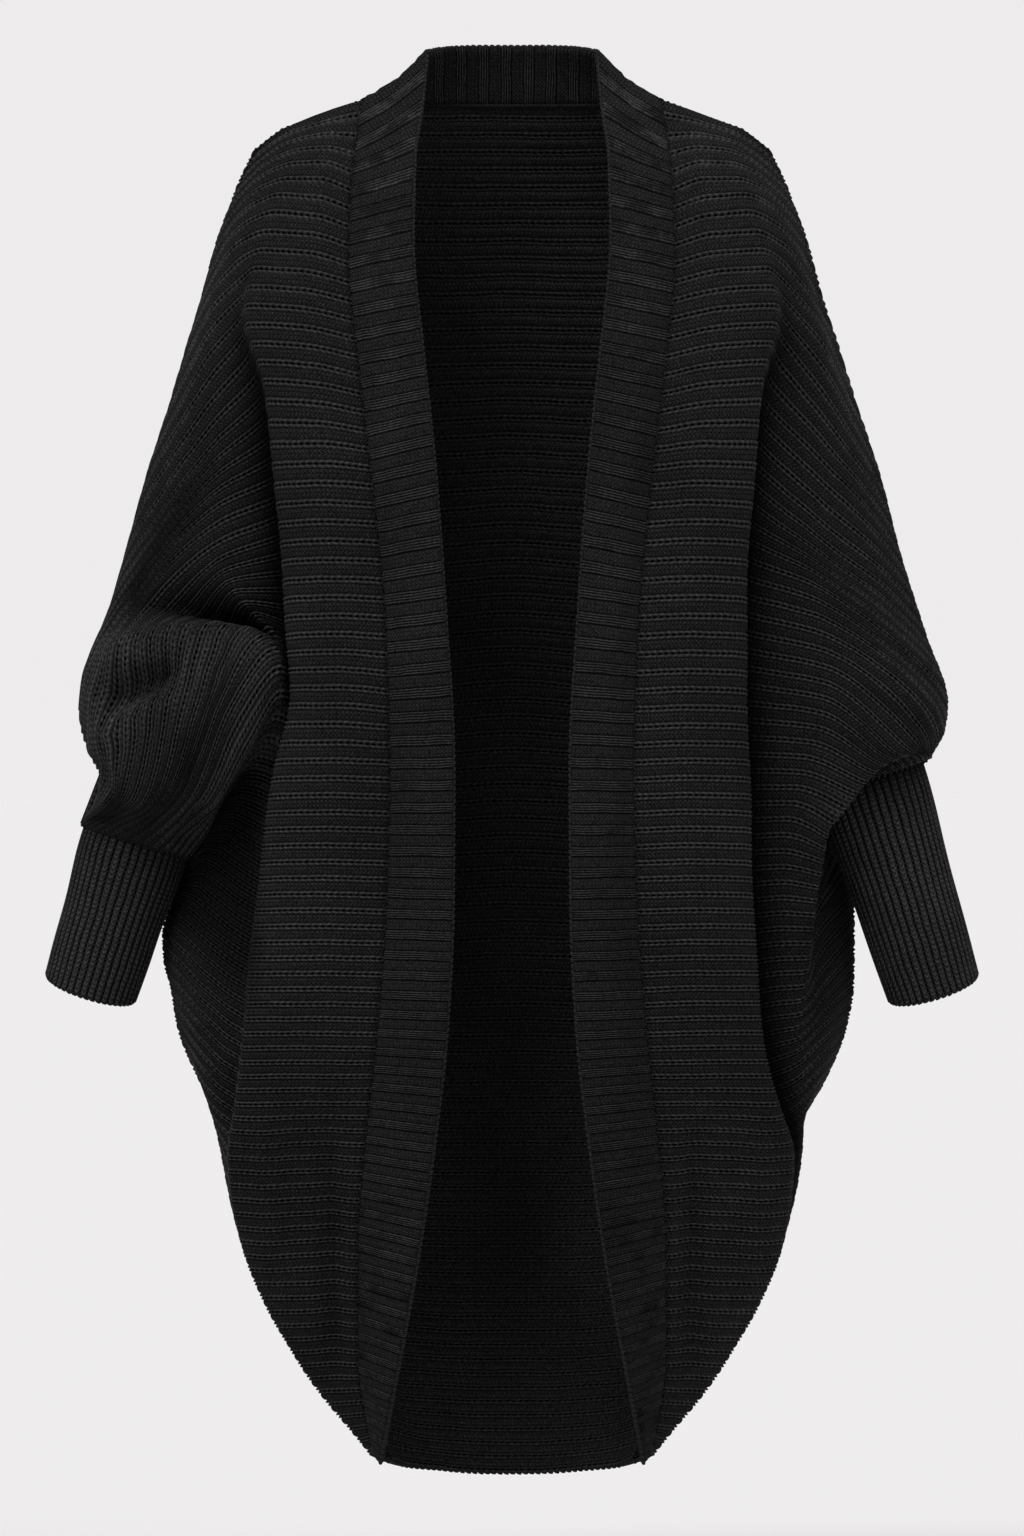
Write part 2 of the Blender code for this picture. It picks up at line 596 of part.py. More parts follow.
def ribbed_wall(smooth, ribs, mirrored, column_inward=None, row_inward=None):
    """A wall with ribs raised on its outer points over a plain inside.

    smooth holds the panel's points for each half rib. column_inward and row_inward map
    a border column or row to the ways its wall goes in, shared with the piece sewn to it.
    """
    normals = grid_normals(smooth)
    for column, ways in (column_inward or {}).items():
        normals[:, column] = -ways
    for row, ways in (row_inward or {}).items():
        normals[row] = -ways
    base = pull_in(smooth, SEAM_GAP / 2)
    outer = base + normals * rib_wave(ribs)[:, None, None]
    step = 2 * RIBS_PER_INNER_ROW
    chosen = list(range(0, len(ribs), step))
    if chosen[-1] != len(ribs) - 1:
        chosen.append(len(ribs) - 1)
    inner = base[chosen] - normals[chosen] * WALL
    return closed_wall(outer, inner, mirrored)


LEFT_PLACES = (0, 1, 2, 2.5, 3, 3.5, 4, 4.5, 5, 6, 7)
RIGHT_PLACES = (0, 1, 2, 2.5, 3, 4, 5, 6, 7, 8, 9)


def build_front(name, is_left, material):
    """One front with its half of the batwing sleeve."""
    ribs = np.arange(0, BODY_RIBS + 0.25, 0.5)
    stations, inward = front_stations(ribs, is_left)
    places = LEFT_PLACES if is_left else RIGHT_PLACES
    smooth = along_ribs(stations, places)
    smooth[0], shoulder_inward = on_shoulder(smooth[0])
    band_inward = -grid_normals(smooth)[:, 0]
    points, faces = ribbed_wall(
        smooth, ribs, not is_left, {0: band_inward, -1: inward}, {0: shoulder_inward}
    )
    return add_piece(name, points, faces, material)


def build_back(name, material):
    """The back with the back halves of both batwing sleeves."""
    ribs = np.arange(0, BODY_RIBS + 0.25, 0.5)
    stations, inward_right, inward_left = back_stations(ribs)
    places = np.arange(stations.shape[1])
    smooth = along_ribs(stations, places)[:, ::-1]
    top = smooth[0].copy()
    top[:, 0] = np.abs(top[:, 0])
    top_inward = neck_inward(top)
    on_arm = top[:, 0] > NECK_SEAM[-1][1] - 0.1
    shoulder, shoulder_inward = on_shoulder(top[on_arm])
    smooth[0, on_arm, 1:] = shoulder[:, 1:]
    top_inward[on_arm] = shoulder_inward
    top_inward[:, 0] *= np.sign(smooth[0, :, 0])
    points, faces = ribbed_wall(
        smooth, ribs, False, {0: inward_left, -1: inward_right}, {0: top_inward}
    )
    return add_piece(name, points, faces, material)


def build_sleeve(name, side, mirrored, material):
    """The long forearm tube, ribbed lengthwise, open at both ends."""
    tube = side.tube
    turns = np.arange(0, 2 * SLEEVE_RIBS) * math.pi / SLEEVE_RIBS
    heights = (0.0, 0.5, 1.0)
    rise = TUBE_RIB_RISE * (np.arange(2 * SLEEVE_RIBS) % 2)
    start = tube.start + tube.axis * TUBE_GAP
    points = []
    for share in heights:
        centre = start + (tube.end - start) * share
        radius = tube.start_radius + (tube.end_radius - tube.start_radius) * share
        spokes = tube.radial(turns)
        drop = CUFF_DROP * share * np.sin(turns)[:, None] * tube.axis
        points.append(centre + drop + spokes * (radius - TUBE_INSET + rise)[:, None])
    inner = []
    for share in heights:
        centre = start + (tube.end - start) * share
        radius = tube.start_radius + (tube.end_radius - tube.start_radius) * share
        drop = CUFF_DROP * share * np.sin(turns[::2])[:, None] * tube.axis
        inner.append(centre + drop + tube.radial(turns[::2]) * (radius - TUBE_INSET - TUBE_WALL))
    outer_count, inner_count = len(turns), len(turns) // 2
    first_inner = len(heights) * outer_count
    faces = []
    for i in range(len(heights) - 1):
        for j in range(outer_count):
            k = (j + 1) % outer_count
            faces.append((i * outer_count + j, i * outer_count + k,
                          (i + 1) * outer_count + k, (i + 1) * outer_count + j))
        for j in range(inner_count):
            k = (j + 1) % inner_count
            row, below = first_inner + i * inner_count, first_inner + (i + 1) * inner_count
            faces.append((row + j, below + j, below + k, row + k))
    for level, flip in ((0, False), (len(heights) - 1, True)):
        ring = level * outer_count
        lining = first_inner + level * inner_count
        for j in range(inner_count):
            k = (j + 1) % inner_count
            trio = (
                (ring + 2 * j, lining + j, ring + 2 * j + 1),
                (ring + 2 * j + 1, lining + j, lining + k),
                (ring + 2 * j + 1, lining + k, ring + (2 * j + 2) % outer_count),
            )
            faces.extend(face[::-1] if flip else face for face in trio)
    points = np.concatenate(points + inner)
    if mirrored:
        points = points * np.array([-1.0, 1.0, 1.0])
        faces = [face[::-1] for face in faces]
    return add_piece(name, points * MM, faces, material)


def band_top_inward():
    """The ways the band's wall goes in where it crosses the shoulder line."""
    top = np.array(BAND_TOP_INWARD)
    neck_point = np.array(SHOULDER_INWARD[0])
    middle = BAND_TOP_SHARE * top + (1 - BAND_TOP_SHARE) * neck_point
    return unit(np.array([top, middle, neck_point]))


def build_front_band(name, mirrored, material):
    """The ribbed band along one front edge, its ribs lying across it."""
    marks = np.arange(0, FRONT_BAND_RIBS + 0.25, 0.5)
    ribs = marks * BODY_RIBS / FRONT_BAND_RIBS
    seam = along_guide(BAND_SEAM, ribs)
    free = along_guide(FREE_EDGE, ribs)
    middle = 0.5 * (seam + free)
    middle[:, 1] -= np.interp(ribs, BAND_BULGE[0], BAND_BULGE[1])
    middle[:, 0] -= np.interp(ribs, BAND_HOLLOW[0], BAND_HOLLOW[1])
    smooth = np.stack([free, middle, seam], axis=1)
    stations, _ = front_stations(ribs, not mirrored)
    body = along_ribs(stations, RIGHT_PLACES if mirrored else LEFT_PLACES)
    seam_inward = -grid_normals(body)[:, 0]
    smooth[:, -1] += SEAM_GAP * unit(smooth[:, -2] - smooth[:, -1])
    points, faces = ribbed_wall(
        smooth, marks, mirrored, {-1: seam_inward}, {0: band_top_inward()}
    )
    return add_piece(name, points, faces, material)


def build_neck_band(name, material):
    """The ribbed band that stands round the back of the neck."""
    marks = np.arange(0, NECK_BAND_RIBS + 0.25, 0.5)
    shares = 2 * marks / NECK_BAND_RIBS - 1
    mirror = np.stack([np.sign(shares), np.ones_like(shares), np.ones_like(shares)], axis=1)
    corners = np.array(NECK_SEAM)
    ways = neck_inward(corners[:, 1:])
    ways[-1] = unit(np.array(SHOULDER_INWARD[0]))
    seam = straight_through(corners[:, 0], corners[:, 1:], np.abs(shares)) * mirror
    seam_inward = straight_through(corners[:, 0], ways, np.abs(shares)) * mirror
    top = along_guide(NECK_TOP, np.abs(shares)) * mirror
    middle = 0.5 * (seam + top)
    middle[:, 1] += np.interp(np.abs(shares), *NECK_BULGE)
    hollow = np.interp(np.abs(shares), *NECK_HOLLOW)
    middle[:, 0] -= np.sign(shares) * hollow
    smooth = np.stack([top, middle, seam], axis=1)
    smooth[:, -1] += SEAM_GAP * unit(smooth[:, -2] - smooth[:, -1])
    end_inward = band_top_inward()
    far_end = end_inward * np.array([-1.0, 1.0, 1.0])
    points, faces = ribbed_wall(
        smooth, marks, False, {-1: unit(seam_inward)}, {0: far_end, -1: end_inward}
    )
    return add_piece(name, points, faces, material)


def main():
    """Clears the scene and builds every piece of the cardigan."""
    for old in list(bpy.data.objects):
        bpy.data.objects.remove(old)
    finishes = {
        name: knit_material(f"{name}_knit", colour) for name, colour in KNIT_COLOURS.items()
    }
    build_front("front_left", True, finishes["front"])
    build_front("front_right", False, finishes["front"])
    build_back("back", finishes["back"])
    build_sleeve("sleeve_left", LEFT, False, finishes["sleeve"])
    build_sleeve("sleeve_right", RIGHT, True, finishes["sleeve"])
    build_front_band("front_band_left", False, finishes["band"])
    build_front_band("front_band_right", True, finishes["band"])
    build_neck_band("neck_band", finishes["band"])


main()
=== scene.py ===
"""Looks of a long open-front cardigan, knitted sideways in chunky rib.

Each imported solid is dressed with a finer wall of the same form: the wide flat ribs and
the pairs of narrow ones stand out of its outer side, the reverse of the knit shows
inside, and stitches, seams and cast-off edges follow its borders. Lengths are
millimetres in the tables and metres in the meshes. +X is the wearer's left, -Y the
front, +Z up, and the origin is the middle of the base of the neck.
"""

import logging
import math
from dataclasses import dataclass, field, replace
from enum import Enum

import bmesh
import bpy
import numpy as np
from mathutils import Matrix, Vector


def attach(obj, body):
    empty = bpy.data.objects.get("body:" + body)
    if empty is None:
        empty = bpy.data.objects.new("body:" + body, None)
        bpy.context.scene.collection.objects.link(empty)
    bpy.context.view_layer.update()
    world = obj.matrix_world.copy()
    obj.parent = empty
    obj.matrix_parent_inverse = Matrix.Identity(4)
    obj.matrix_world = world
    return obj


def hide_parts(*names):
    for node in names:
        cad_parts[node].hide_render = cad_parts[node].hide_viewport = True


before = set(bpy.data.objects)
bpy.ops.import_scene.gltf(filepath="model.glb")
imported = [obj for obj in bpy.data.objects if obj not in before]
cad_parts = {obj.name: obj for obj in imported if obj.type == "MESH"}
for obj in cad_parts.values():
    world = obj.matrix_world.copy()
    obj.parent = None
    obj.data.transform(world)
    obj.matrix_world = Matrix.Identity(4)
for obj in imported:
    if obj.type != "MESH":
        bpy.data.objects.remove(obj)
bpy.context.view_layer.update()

BODY = "root"
MM = 0.001
Socket = bpy.types.NodeSocket
log = logging.getLogger("cardigan")

# Cloth and ribs
LINING_DEPTH = 3.0    # from the grooves outside to the grooves inside
SEAM_GAP = 0.36       # clear space left between two pieces at a seam
BODY_RIBS = 84        # from the shoulder line down to the hem
FRONT_BAND_RIBS = 65
NECK_BAND_RIBS = 10
SLEEVE_RIBS = 40
NECK_REPEAT = 15.9    # width of a repeat of the neck band, seen from the front
MIRROR = np.array([-1.0, 1.0, 1.0])

# Forearm sleeve: a tapered tube on a straight axis from the elbow to the cuff
TUBE_TOP = (249.5, 1.0, -471.0)
TUBE_CUFF = (294.9, 4.0, -617.5)
TUBE_TOP_RADIUS = 41.0
TUBE_CUFF_RADIUS = 34.5
CUFF_DROP = 7.0            # how much lower the cuff hangs at its front than at its middle
TUBE_WALL = 2.6            # from its grooves outside to its grooves inside
TUBE_GAP = 0.6             # clear space between the tube's upper rim and its ring
TUBE_INSET = 1.8           # how far the tube's grooves lie inside the ring it is sewn to
RIGHT_TUBE_START = 0.30    # share of the axis where the wearer's right tube begins

# Guide lines shared by both sides: (rib, x, y, z), x counted outward from the middle
BAND_SEAM = (
    (0, 104.6, 12, 3.5), (2, 109, -20, -26), (4, 112, -48, -52), (8, 114, -88, -104),
    (14, 107, -118, -182), (20, 98, -134, -259), (28, 88, -142, -363),
    (36, 85, -142, -463), (44, 87, -138, -555), (52, 93, -128, -641),
    (60, 101, -108, -718), (68, 107, -76, -796), (76, 107, -36, -873),
    (84, 97, 6, -943),
)
FREE_EDGE = (
    (0, 60, 10, 38.5), (2, 63, -20, 2), (4, 68, -58, -36), (8, 69, -98, -94),
    (14, 62, -130, -173), (20, 54, -146, -248.5), (28, 46, -153, -357.5),
    (36, 40.5, -156, -462), (44, 41, -154, -556), (52, 45, -148, -643),
    (60, 54, -134, -724), (68, 66, -110, -806), (76, 80, -74, -882),
    (84, 93, -32, -949),
)

# How far the band's middle stands forward, and in toward the neck: (ribs), (mm)
BAND_BULGE = ((0, 4, 12, 60, 84), (0, 3, 5, 5, 3))
BAND_HOLLOW = ((0, 4, 10), (4.5, 2, 0))

# How far the neck band's middle stands back and in: (share of the way round), (mm)
NECK_BULGE = ((0.0, 0.8, 1.0), (2.0, 2.0, 0.0))
NECK_HOLLOW = ((0.0, 0.6, 1.0), (0.0, 0.0, 4.5))

# How far the roll between band seam and crest stands forward and up: (ribs), (mm)
ROLL_BULGE = ((0, 8, 20, 42, 52, 62, 72, 84), (0, 10, 18, 18, 12, 5, 5, 2))
ROLL_LIFT = ((0, 4, 16, 84), (0.5, 4, 2, 0))

# Guide lines of the wearer's left front, a plain batwing that blouses over the forearm
LEFT_GUIDES = {
    "crest": (
        (0, 136, 12, -8.5), (4, 152, -38, -45), (8, 168, -76, -95), (12, 182, -98, -146),
        (16, 173, -110, -198), (20, 167, -117, -257), (28, 161, -122, -363),
        (36, 163, -122, -463), (44, 166, -116, -555), (52, 172, -104, -640),
        (58, 184, -86, -700), (62, 194, -62, -737), (68, 186.5, -28, -796),
        (76, 151.5, 4, -874), (84, 97.5, 22, -945),
    ),
    "trough": (
        (0, 150, 12, -13), (4, 168, -24, -50), (8, 186, -58, -101), (12, 186, -82, -152),
        (16, 172, -84, -206), (20, 165, -80, -265), (28, 159, -74, -370),
        (36, 161, -68, -468), (44, 164, -60, -559), (52, 171, -50, -643),
        (58, 184, -40, -699), (62, 196, -30, -734), (68, 187.3, -14, -795.5),
        (76, 151.7, 11, -873.6), (84, 96.8, 27, -945.6),
    ),
    "wing": (
        (0, 160, 13, -18), (4, 184, -12, -62), (8, 202, -40, -118), (12, 218, -60, -192),
        (16, 212, -68, -250), (20, 210, -70, -303), (24, 212, -72, -339),
        (28, 222, -71, -386), (33, 212, -72, -438), (36, 200, -70, -469),
        (42, 188, -64, -535), (48, 186, -56, -599), (52, 184, -50, -640),
        (55, 186, -46, -668), (58, 193, -38, -696), (62, 199, -24, -729),
        (68, 188, -5, -794.5), (76, 151.5, 17, -873), (84, 95.8, 31, -946.2),
    ),
    "edge": (
        (0, 169, 13, -24), (4, 194, 0, -72), (8, 214, -9, -138), (12, 247, -12, -244),
        (16, 264, -12, -308), (20, 281, -12, -362), (24, 299, -14, -412),
        (26, 298, -26, -431), (28, 287, -38, -443), (30.5, 272, -48, -453),
        (33, 257, -54, -462), (36, 238, -58, -483), (38.5, 221, -58, -509),
        (42, 214, -56, -540), (48, 205, -52, -598), (52, 199, -47, -638),
        (55, 198, -41, -663), (58, 201, -32, -690), (62, 202, -17, -722),
        (68, 188, 2, -793), (76, 151, 21, -872.5), (84, 94.5, 35, -947),
    ),
    "tuck": (
        (0, 173, 13, -27), (4, 199, 7, -78), (8, 220, 1, -147), (12, 256, 1, -263),
        (16, 272, 1, -322), (20, 289, 1, -373), (24, 303, 1, -419),
        (26, 300, -8, -440), (28, 289, -20, -450), (30.5, 279, -30, -453),
        (33, 263, -38, -456), (36, 242, -46, -466), (38.5, 224, -44, -485),
        (42, 213, -40, -508), (46, 206, -36, -560), (48, 207, -35, -580),
        (52, 214, -32, -621), (55, 214, -28, -648), (58, 212, -22, -678),
        (62, 201, -8, -714), (68, 187, 12, -790), (76, 148.5, 27, -871),
        (84, 92, 39, -949),
    ),
}

# Guide lines of the wearer's right front, whose batwing has slid into a pouch
RIGHT_GUIDES = {
    "crest": (
        (0, 136, 12, -8.5), (4, 152, -38, -45), (8, 168, -76, -95), (12, 183, -98, -146),
        (16, 171, -110, -198), (20, 164, -117, -257), (28, 155.5, -122, -363),
        (32, 152.5, -122, -411), (36, 163, -120, -463), (44, 176, -114, -555),
        (52, 185, -102, -641), (58, 191, -86, -700), (62, 196, -62, -737),
        (68, 186.5, -28, -796), (76, 151.5, 4, -874), (84, 97.5, 22, -945),
    ),
    "trough": (
        (0, 147, 12, -12), (4, 166, -27, -49), (8, 184, -61, -100), (12, 186, -84, -152),
        (16, 171, -84, -206), (20, 163, -80, -264), (28, 154, -74, -368),
        (33, 151, -74, -430), (36, 161, -60, -467), (44, 175, -44, -556),
        (52, 185, -40, -641), (58, 191, -35, -697), (62, 197, -28, -733),
        (68, 187.3, -14, -795.5), (76, 151.7, 11, -873.6), (84, 96.8, 27, -945.6),
    ),
    "wing": (
        (0, 157, 13, -17), (4, 180, -14, -57), (8, 200, -44, -113), (12, 210, -62, -180),
        (16, 206, -68, -240), (20, 205, -71, -284), (23, 202, -76, -320),
        (26, 190, -78, -342), (28, 176, -74, -358), (30, 158, -76, -384),
        (33, 153, -84, -425), (36, 164, -52, -464), (44, 187, -36, -549),
        (52, 197, -33, -634), (58, 202, -32, -690), (62, 200, -22, -728),
        (68, 187.9, -6, -794.8), (76, 151.6, 15, -873.3), (84, 96.2, 29.5, -946),
    ),
    "crease": (
        (0, 164, 13, -21), (4, 189, -5, -66), (8, 209, -26, -127), (12, 230, -42, -212),
        (16, 246, -46, -293), (19, 261, -42, -335), (21, 258, -44, -347),
        (23, 237, -46, -353), (26, 207, -44, -362), (28, 183, -46, -369),
        (30, 163, -84, -381), (31.5, 156, -100, -396), (33, 155, -97, -417),
        (34.5, 159, -74, -441), (36, 169, -46, -461), (44, 198, -30, -541), (52, 209, -27, -624),
        (58, 210, -26, -682), (62, 203, -16, -722), (68, 188.2, -1, -794),
        (76, 151.4, 18.5, -872.9), (84, 95.5, 31.5, -946.4),
    ),
    "ridge": (
        (0, 169, 13, -24), (4, 195, 2, -73), (8, 215, -12, -138), (12, 244, -20, -238),
        (16, 270, -24, -328), (19, 285, -38, -372), (21, 276, -64, -378),
        (23, 256, -80, -372), (26, 222, -94, -366), (28, 196, -102, -367),
        (30, 173, -112, -377), (31.5, 163, -116, -391), (33, 161, -106, -415),
        (34.5, 168, -77, -437), (36, 179, -42, -459), (44, 207, -24, -534), (52, 219, -21, -615),
        (58, 216, -19, -674), (62, 206, -10, -715), (68, 188, 5, -792.6),
        (76, 150.9, 21.5, -872.4), (84, 94.5, 34, -947),
    ),
    "pouch": (
        (0, 173, 13, -27), (4, 199, 8, -79), (8, 220, 0, -149), (12, 254, -4, -262),
        (16, 283, -8, -362), (19, 299, -20, -404), (21, 290, -56, -420),
        (23, 266, -80, -424), (26, 236, -96, -420), (28, 216, -103, -419),
        (30, 201, -107, -418), (31.5, 191, -106, -427), (33, 182, -95, -446),
        (34.5, 188, -68, -458), (36, 197, -38, -474), (44, 216, -18, -530), (52, 227, -14, -606),
        (58, 221, -10, -666), (62, 205.5, -3, -709), (68, 187.3, 11, -790.6),
        (76, 150.1, 25, -871.6), (84, 92.8, 37, -948),
    ),
    "gather": (
        (0, 175, 13, -29), (4, 201, 11, -83), (8, 222, 8, -157), (12, 258, 7, -282),
        (16, 288, 4, -382), (19, 301, -4, -425), (21, 290, -30, -466),
        (23, 278, -54, -484), (26, 253, -66, -483), (28, 239, -69, -482),
        (30, 227, -70, -482), (31.5, 217, -66, -483), (33, 207, -56, -488),
        (34.5, 211, -42, -495), (36, 214, -27, -506), (44, 222, -9, -535), (52, 236, -5, -597),
        (58, 225, 3, -659), (62, 205.5, 6, -704), (68, 186, 17, -787.6),
        (76, 148, 29, -870), (84, 90.6, 40.5, -949.4),
    ),
}

# Overarm seam, from the shoulder point to the elbow: (x, y, z)
OVERARM_SEAM = (
    (179, 13, -31), (192.5, 14, -60), (204, 14, -100), (217.5, 14, -150), (236, 14, -210),
    (258, 14, -285), (279, 14, -355), (294, 14, -400), (300, 13, -424),
)
LEFT_ELBOW = ((296, 9, -444),)
RIGHT_ELBOW = ((294, 10, -446), (287, 8, -466), (290, 3, -486))

# Shoulder seam, from the neck point over the shoulder to its tip: (x, y, z)
SHOULDER_SEAM = ((104.6, 12, 3.5), (160, 12.7, -16.5), (179, 13, -31))
SHOULDER_INWARD = ((-0.45, 0.0, -0.89), (-0.47, 0.0, -0.88))
TIP_INWARD = (-0.15, 0.0, -1.0)     # at the shoulder's tip
ARM_INWARD = (-1.0, -0.3, -0.2)     # from TIP_TURN below the tip downward
TIP_TURN = 60.0
CUFF_TURN_TOP = -390.0              # where the wall starts to turn toward the forearm
SIDE_INWARD = (-1.0, 0.15, 0.0)
SEAM_STEP = 4.0                     # spacing of the points that give a seam's direction

# Side seam, from the underarm to the hem: (x, y, z)
LEFT_UNDERARM = (
    (208, 8, -491), (221, 20, -513), (234, 27, -539), (238.5, 27, -562), (238.5, 23, -588),
)
RIGHT_UNDERARM = (
    (229, 10, -536.5), (233, 17, -547), (239, 22, -562), (243.5, 23, -580), (242.5, 21.5, -599),
)
SIDE_SEAM = (
    (238, 20, -616), (233, 19, -645), (219, 19, -680), (199, 19, -715), (188, 20, -750),
    (184, 24, -784), (170, 29, -826), (146, 34, -868), (114, 39, -911), (86, 44, -951),
)

# Which rib of a panel reaches which height of the overarm seam: (rib, z)
LEFT_OVERARM_RIBS = (
    (0, -31), (4, -80), (8, -150), (10, -215), (12, -270), (15, -318), (18, -355),
    (21, -390), (24, -424), (26, -445), (27, -459),
)
RIGHT_OVERARM_RIBS = (
    (0, -31), (4, -80), (8, -150), (12, -290), (16, -370), (19, -420), (20, -440),
    (21, -466), (22, -507),
)
# Ribs between which a panel meets the forearm tube, and the rib at the hem
LEFT_CUFF_RIBS = (27, 46)
RIGHT_CUFF_RIBS = (22, 38)

# Side seam heights of the ribs below the underarm: (rib, z)
LEFT_SIDE_RIBS = (
    (46, -484), (48, -540), (50, -570), (52, -596), (55, -630), (58, -660), (62, -700),
    (68, -784), (76, -868), (84, -951),
)
RIGHT_SIDE_RIBS = (
    (38, -529), (44, -542), (48, -560), (52, -590), (56, -632), (60, -680), (64, -730),
    (68, -784), (76, -868), (84, -951),
)

# Back panel: (rib, x, y, z) lines outward from the middle
BACK_MIDDLE = (
    (0, 0, 66, 3.5), (4, 0, 82, -45), (8, 0, 94, -95), (14, 0, 106, -170),
    (20, 0, 111, -245), (30, 0, 112, -370), (40, 0, 108, -490), (50, 0, 104, -610),
    (60, 0, 100, -720), (70, 0, 94, -822), (78, 0, 88, -902), (84, 0, 84, -960),
)
BACK_SPINE = (
    (0, 38, 62.5, 3.5), (4, 38, 80, -45), (8, 38, 92, -96), (14, 39, 104, -171),
    (20, 40, 110, -247), (30, 41, 111, -373), (40, 41, 107, -492), (50, 39, 103, -611),
    (60, 36, 99, -720), (70, 32, 93, -822), (78, 26, 87.5, -902), (84, 18, 83, -959.8),
)
BACK_BLADE = (
    (0, 73, 50, 3.5), (4, 75, 73, -44), (8, 77, 87, -96), (14, 79, 100, -172),
    (20, 81, 106, -250), (30, 83, 108, -377), (40, 83, 103, -495), (50, 79, 99, -612),
    (60, 73, 95, -719), (70, 63, 90, -821), (78, 51, 85, -901), (84, 35, 80, -959),
)
BACK_NECK_POINT = (
    (0, 104.6, 12, 3.5), (4, 113, 56, -42), (8, 120, 76, -95), (14, 128, 90, -176),
    (20, 133, 96, -257), (30, 137, 97, -388), (40, 136, 92, -502), (50, 129, 88, -612),
    (60, 117, 84, -712), (70, 100, 79, -815), (78, 80, 76, -899), (84, 54, 71, -957),
)
BACK_WING = (
    (0, 160, 12.7, -16.5), (4, 164, 36, -52), (8, 174, 52, -108), (14, 200, 62, -208),
    (20, 226, 62, -308), (26, 240, 58, -396), (32, 232, 56, -448), (38, 218, 55, -497),
    (44, 208, 54, -548), (50, 206, 52, -602), (56, 198, 50, -650), (62, 180, 50, -702),
    (70, 152, 56, -802), (78, 116, 62, -886), (84, 76, 58, -954.5),
)

# Neck band: half of its seam and of its top edge, from the middle of the back to the
# shoulder line: (share of the way round, x, y, z)
NECK_SEAM = (
    (0, 0, 66, 3.5), (1 / 3, 38, 62.5, 3.5), (2 / 3, 73, 50, 3.5), (1, 104.6, 12, 3.5),
)
NECK_TOP = (
    (0, 0, 53, 43), (1 / 3, 23, 51, 43), (2 / 3, 43, 41, 42.2), (5 / 6, 53, 28, 40.6),
    (1, 60, 10, 38.5),
)

# Neck: the middle of the neck from front to back, and how far its walls lean inward
NECK_AXIS_Y = 5.0
NECK_LEAN = 0.65
BAND_TOP_INWARD = (-0.62, 0.0, -0.79)
BAND_TOP_SHARE = 0.6        # how far the band's middle leans like its top edge


LEAST_LENGTH = 1e-9


def unit(vectors: np.ndarray) -> np.ndarray:
    """Scales vectors to length one."""
    return vectors / np.maximum(np.linalg.norm(vectors, axis=-1, keepdims=True), LEAST_LENGTH)


def monotone_slopes(steps: np.ndarray, values: np.ndarray) -> np.ndarray:
    """Slopes for a cubic through a table that never swings past its rows.

    Args:
        steps: rising positions, one for each row.
        values: the rows, with one column for each coordinate.

    Returns:
        One slope for each value.
    """
    widths = np.diff(steps)[:, None]
    rises = np.diff(values, axis=0) / widths
    before, after = rises[:-1], rises[1:]
    weight_a, weight_b = 2 * widths[1:] + widths[:-1], widths[1:] + 2 * widths[:-1]
    same_way = before * after > 0
    mean = (weight_a + weight_b) / (weight_a / np.where(same_way, before, 1.0)
                                    + weight_b / np.where(same_way, after, 1.0))
    return np.concatenate([rises[:1], np.where(same_way, mean, 0.0), rises[-1:]])


def smooth_through(steps: np.ndarray, values: np.ndarray, wanted: np.ndarray) -> np.ndarray:
    """Reads a monotone cubic through (steps, values) at each wanted step."""
    steps, values = np.asarray(steps, float), np.asarray(values, float)
    wanted = np.clip(np.asarray(wanted, float), steps[0], steps[-1])
    slopes = monotone_slopes(steps, values)
    span = np.clip(np.searchsorted(steps, wanted, side="right") - 1, 0, len(steps) - 2)
    width = (steps[span + 1] - steps[span])[:, None]
    t = (wanted - steps[span])[:, None] / width
    start = (1 + 2 * t) * (1 - t) ** 2 * values[span] + t * (1 - t) ** 2 * width * slopes[span]
    end = t * t * (3 - 2 * t) * values[span + 1] + t * t * (t - 1) * width * slopes[span + 1]
    return start + end


def along_guide(rows: tuple, wanted: np.ndarray) -> np.ndarray:
    """Points of a guide line, a table of (rib, x, y, z), at the wanted ribs."""
    table = np.array(rows, float)
    return smooth_through(table[:, 0], table[:, 1:], wanted)


def grid_normals(points: np.ndarray) -> np.ndarray:
    """Unit normals of a grid whose first axis runs down and second axis outward."""
    return unit(np.cross(np.gradient(points, axis=0), np.gradient(points, axis=1)))


def eased(share: np.ndarray) -> np.ndarray:
    """A smooth step from 0 to 1 over a share of 0 to 1."""
    t = np.clip(share, 0.0, 1.0)
    return t * t * (3 - 2 * t)


class ForearmTube:
    """The straight axis and radii of one forearm tube."""

    def __init__(self, start_share: float) -> None:
        """Cuts the tube at a share of its axis, 0 for the whole length."""
        top, self.end = np.array(TUBE_TOP), np.array(TUBE_CUFF)
        self.start = top + (self.end - top) * start_share
        self.start_radius = TUBE_TOP_RADIUS + (TUBE_CUFF_RADIUS - TUBE_TOP_RADIUS) * start_share
        self.end_radius = TUBE_CUFF_RADIUS
        self.axis = unit(self.end - self.start)
        self.outward = unit(np.array([1.0, 0.0, 0.0]) - self.axis[0] * self.axis)
        forward = np.cross(self.outward, self.axis)
        self.forward = -forward if forward[1] > 0 else forward

    def radial(self, turn: np.ndarray) -> np.ndarray:
        """Unit vectors at each turn: 0 is the outer side and pi/2 the front."""
        turn = np.asarray(turn, float)[..., None]
        return np.cos(turn) * self.outward + np.sin(turn) * self.forward

    def ring(self, turn: np.ndarray) -> np.ndarray:
        """Points of the tube's upper rim."""
        return self.start + self.start_radius * self.radial(turn)


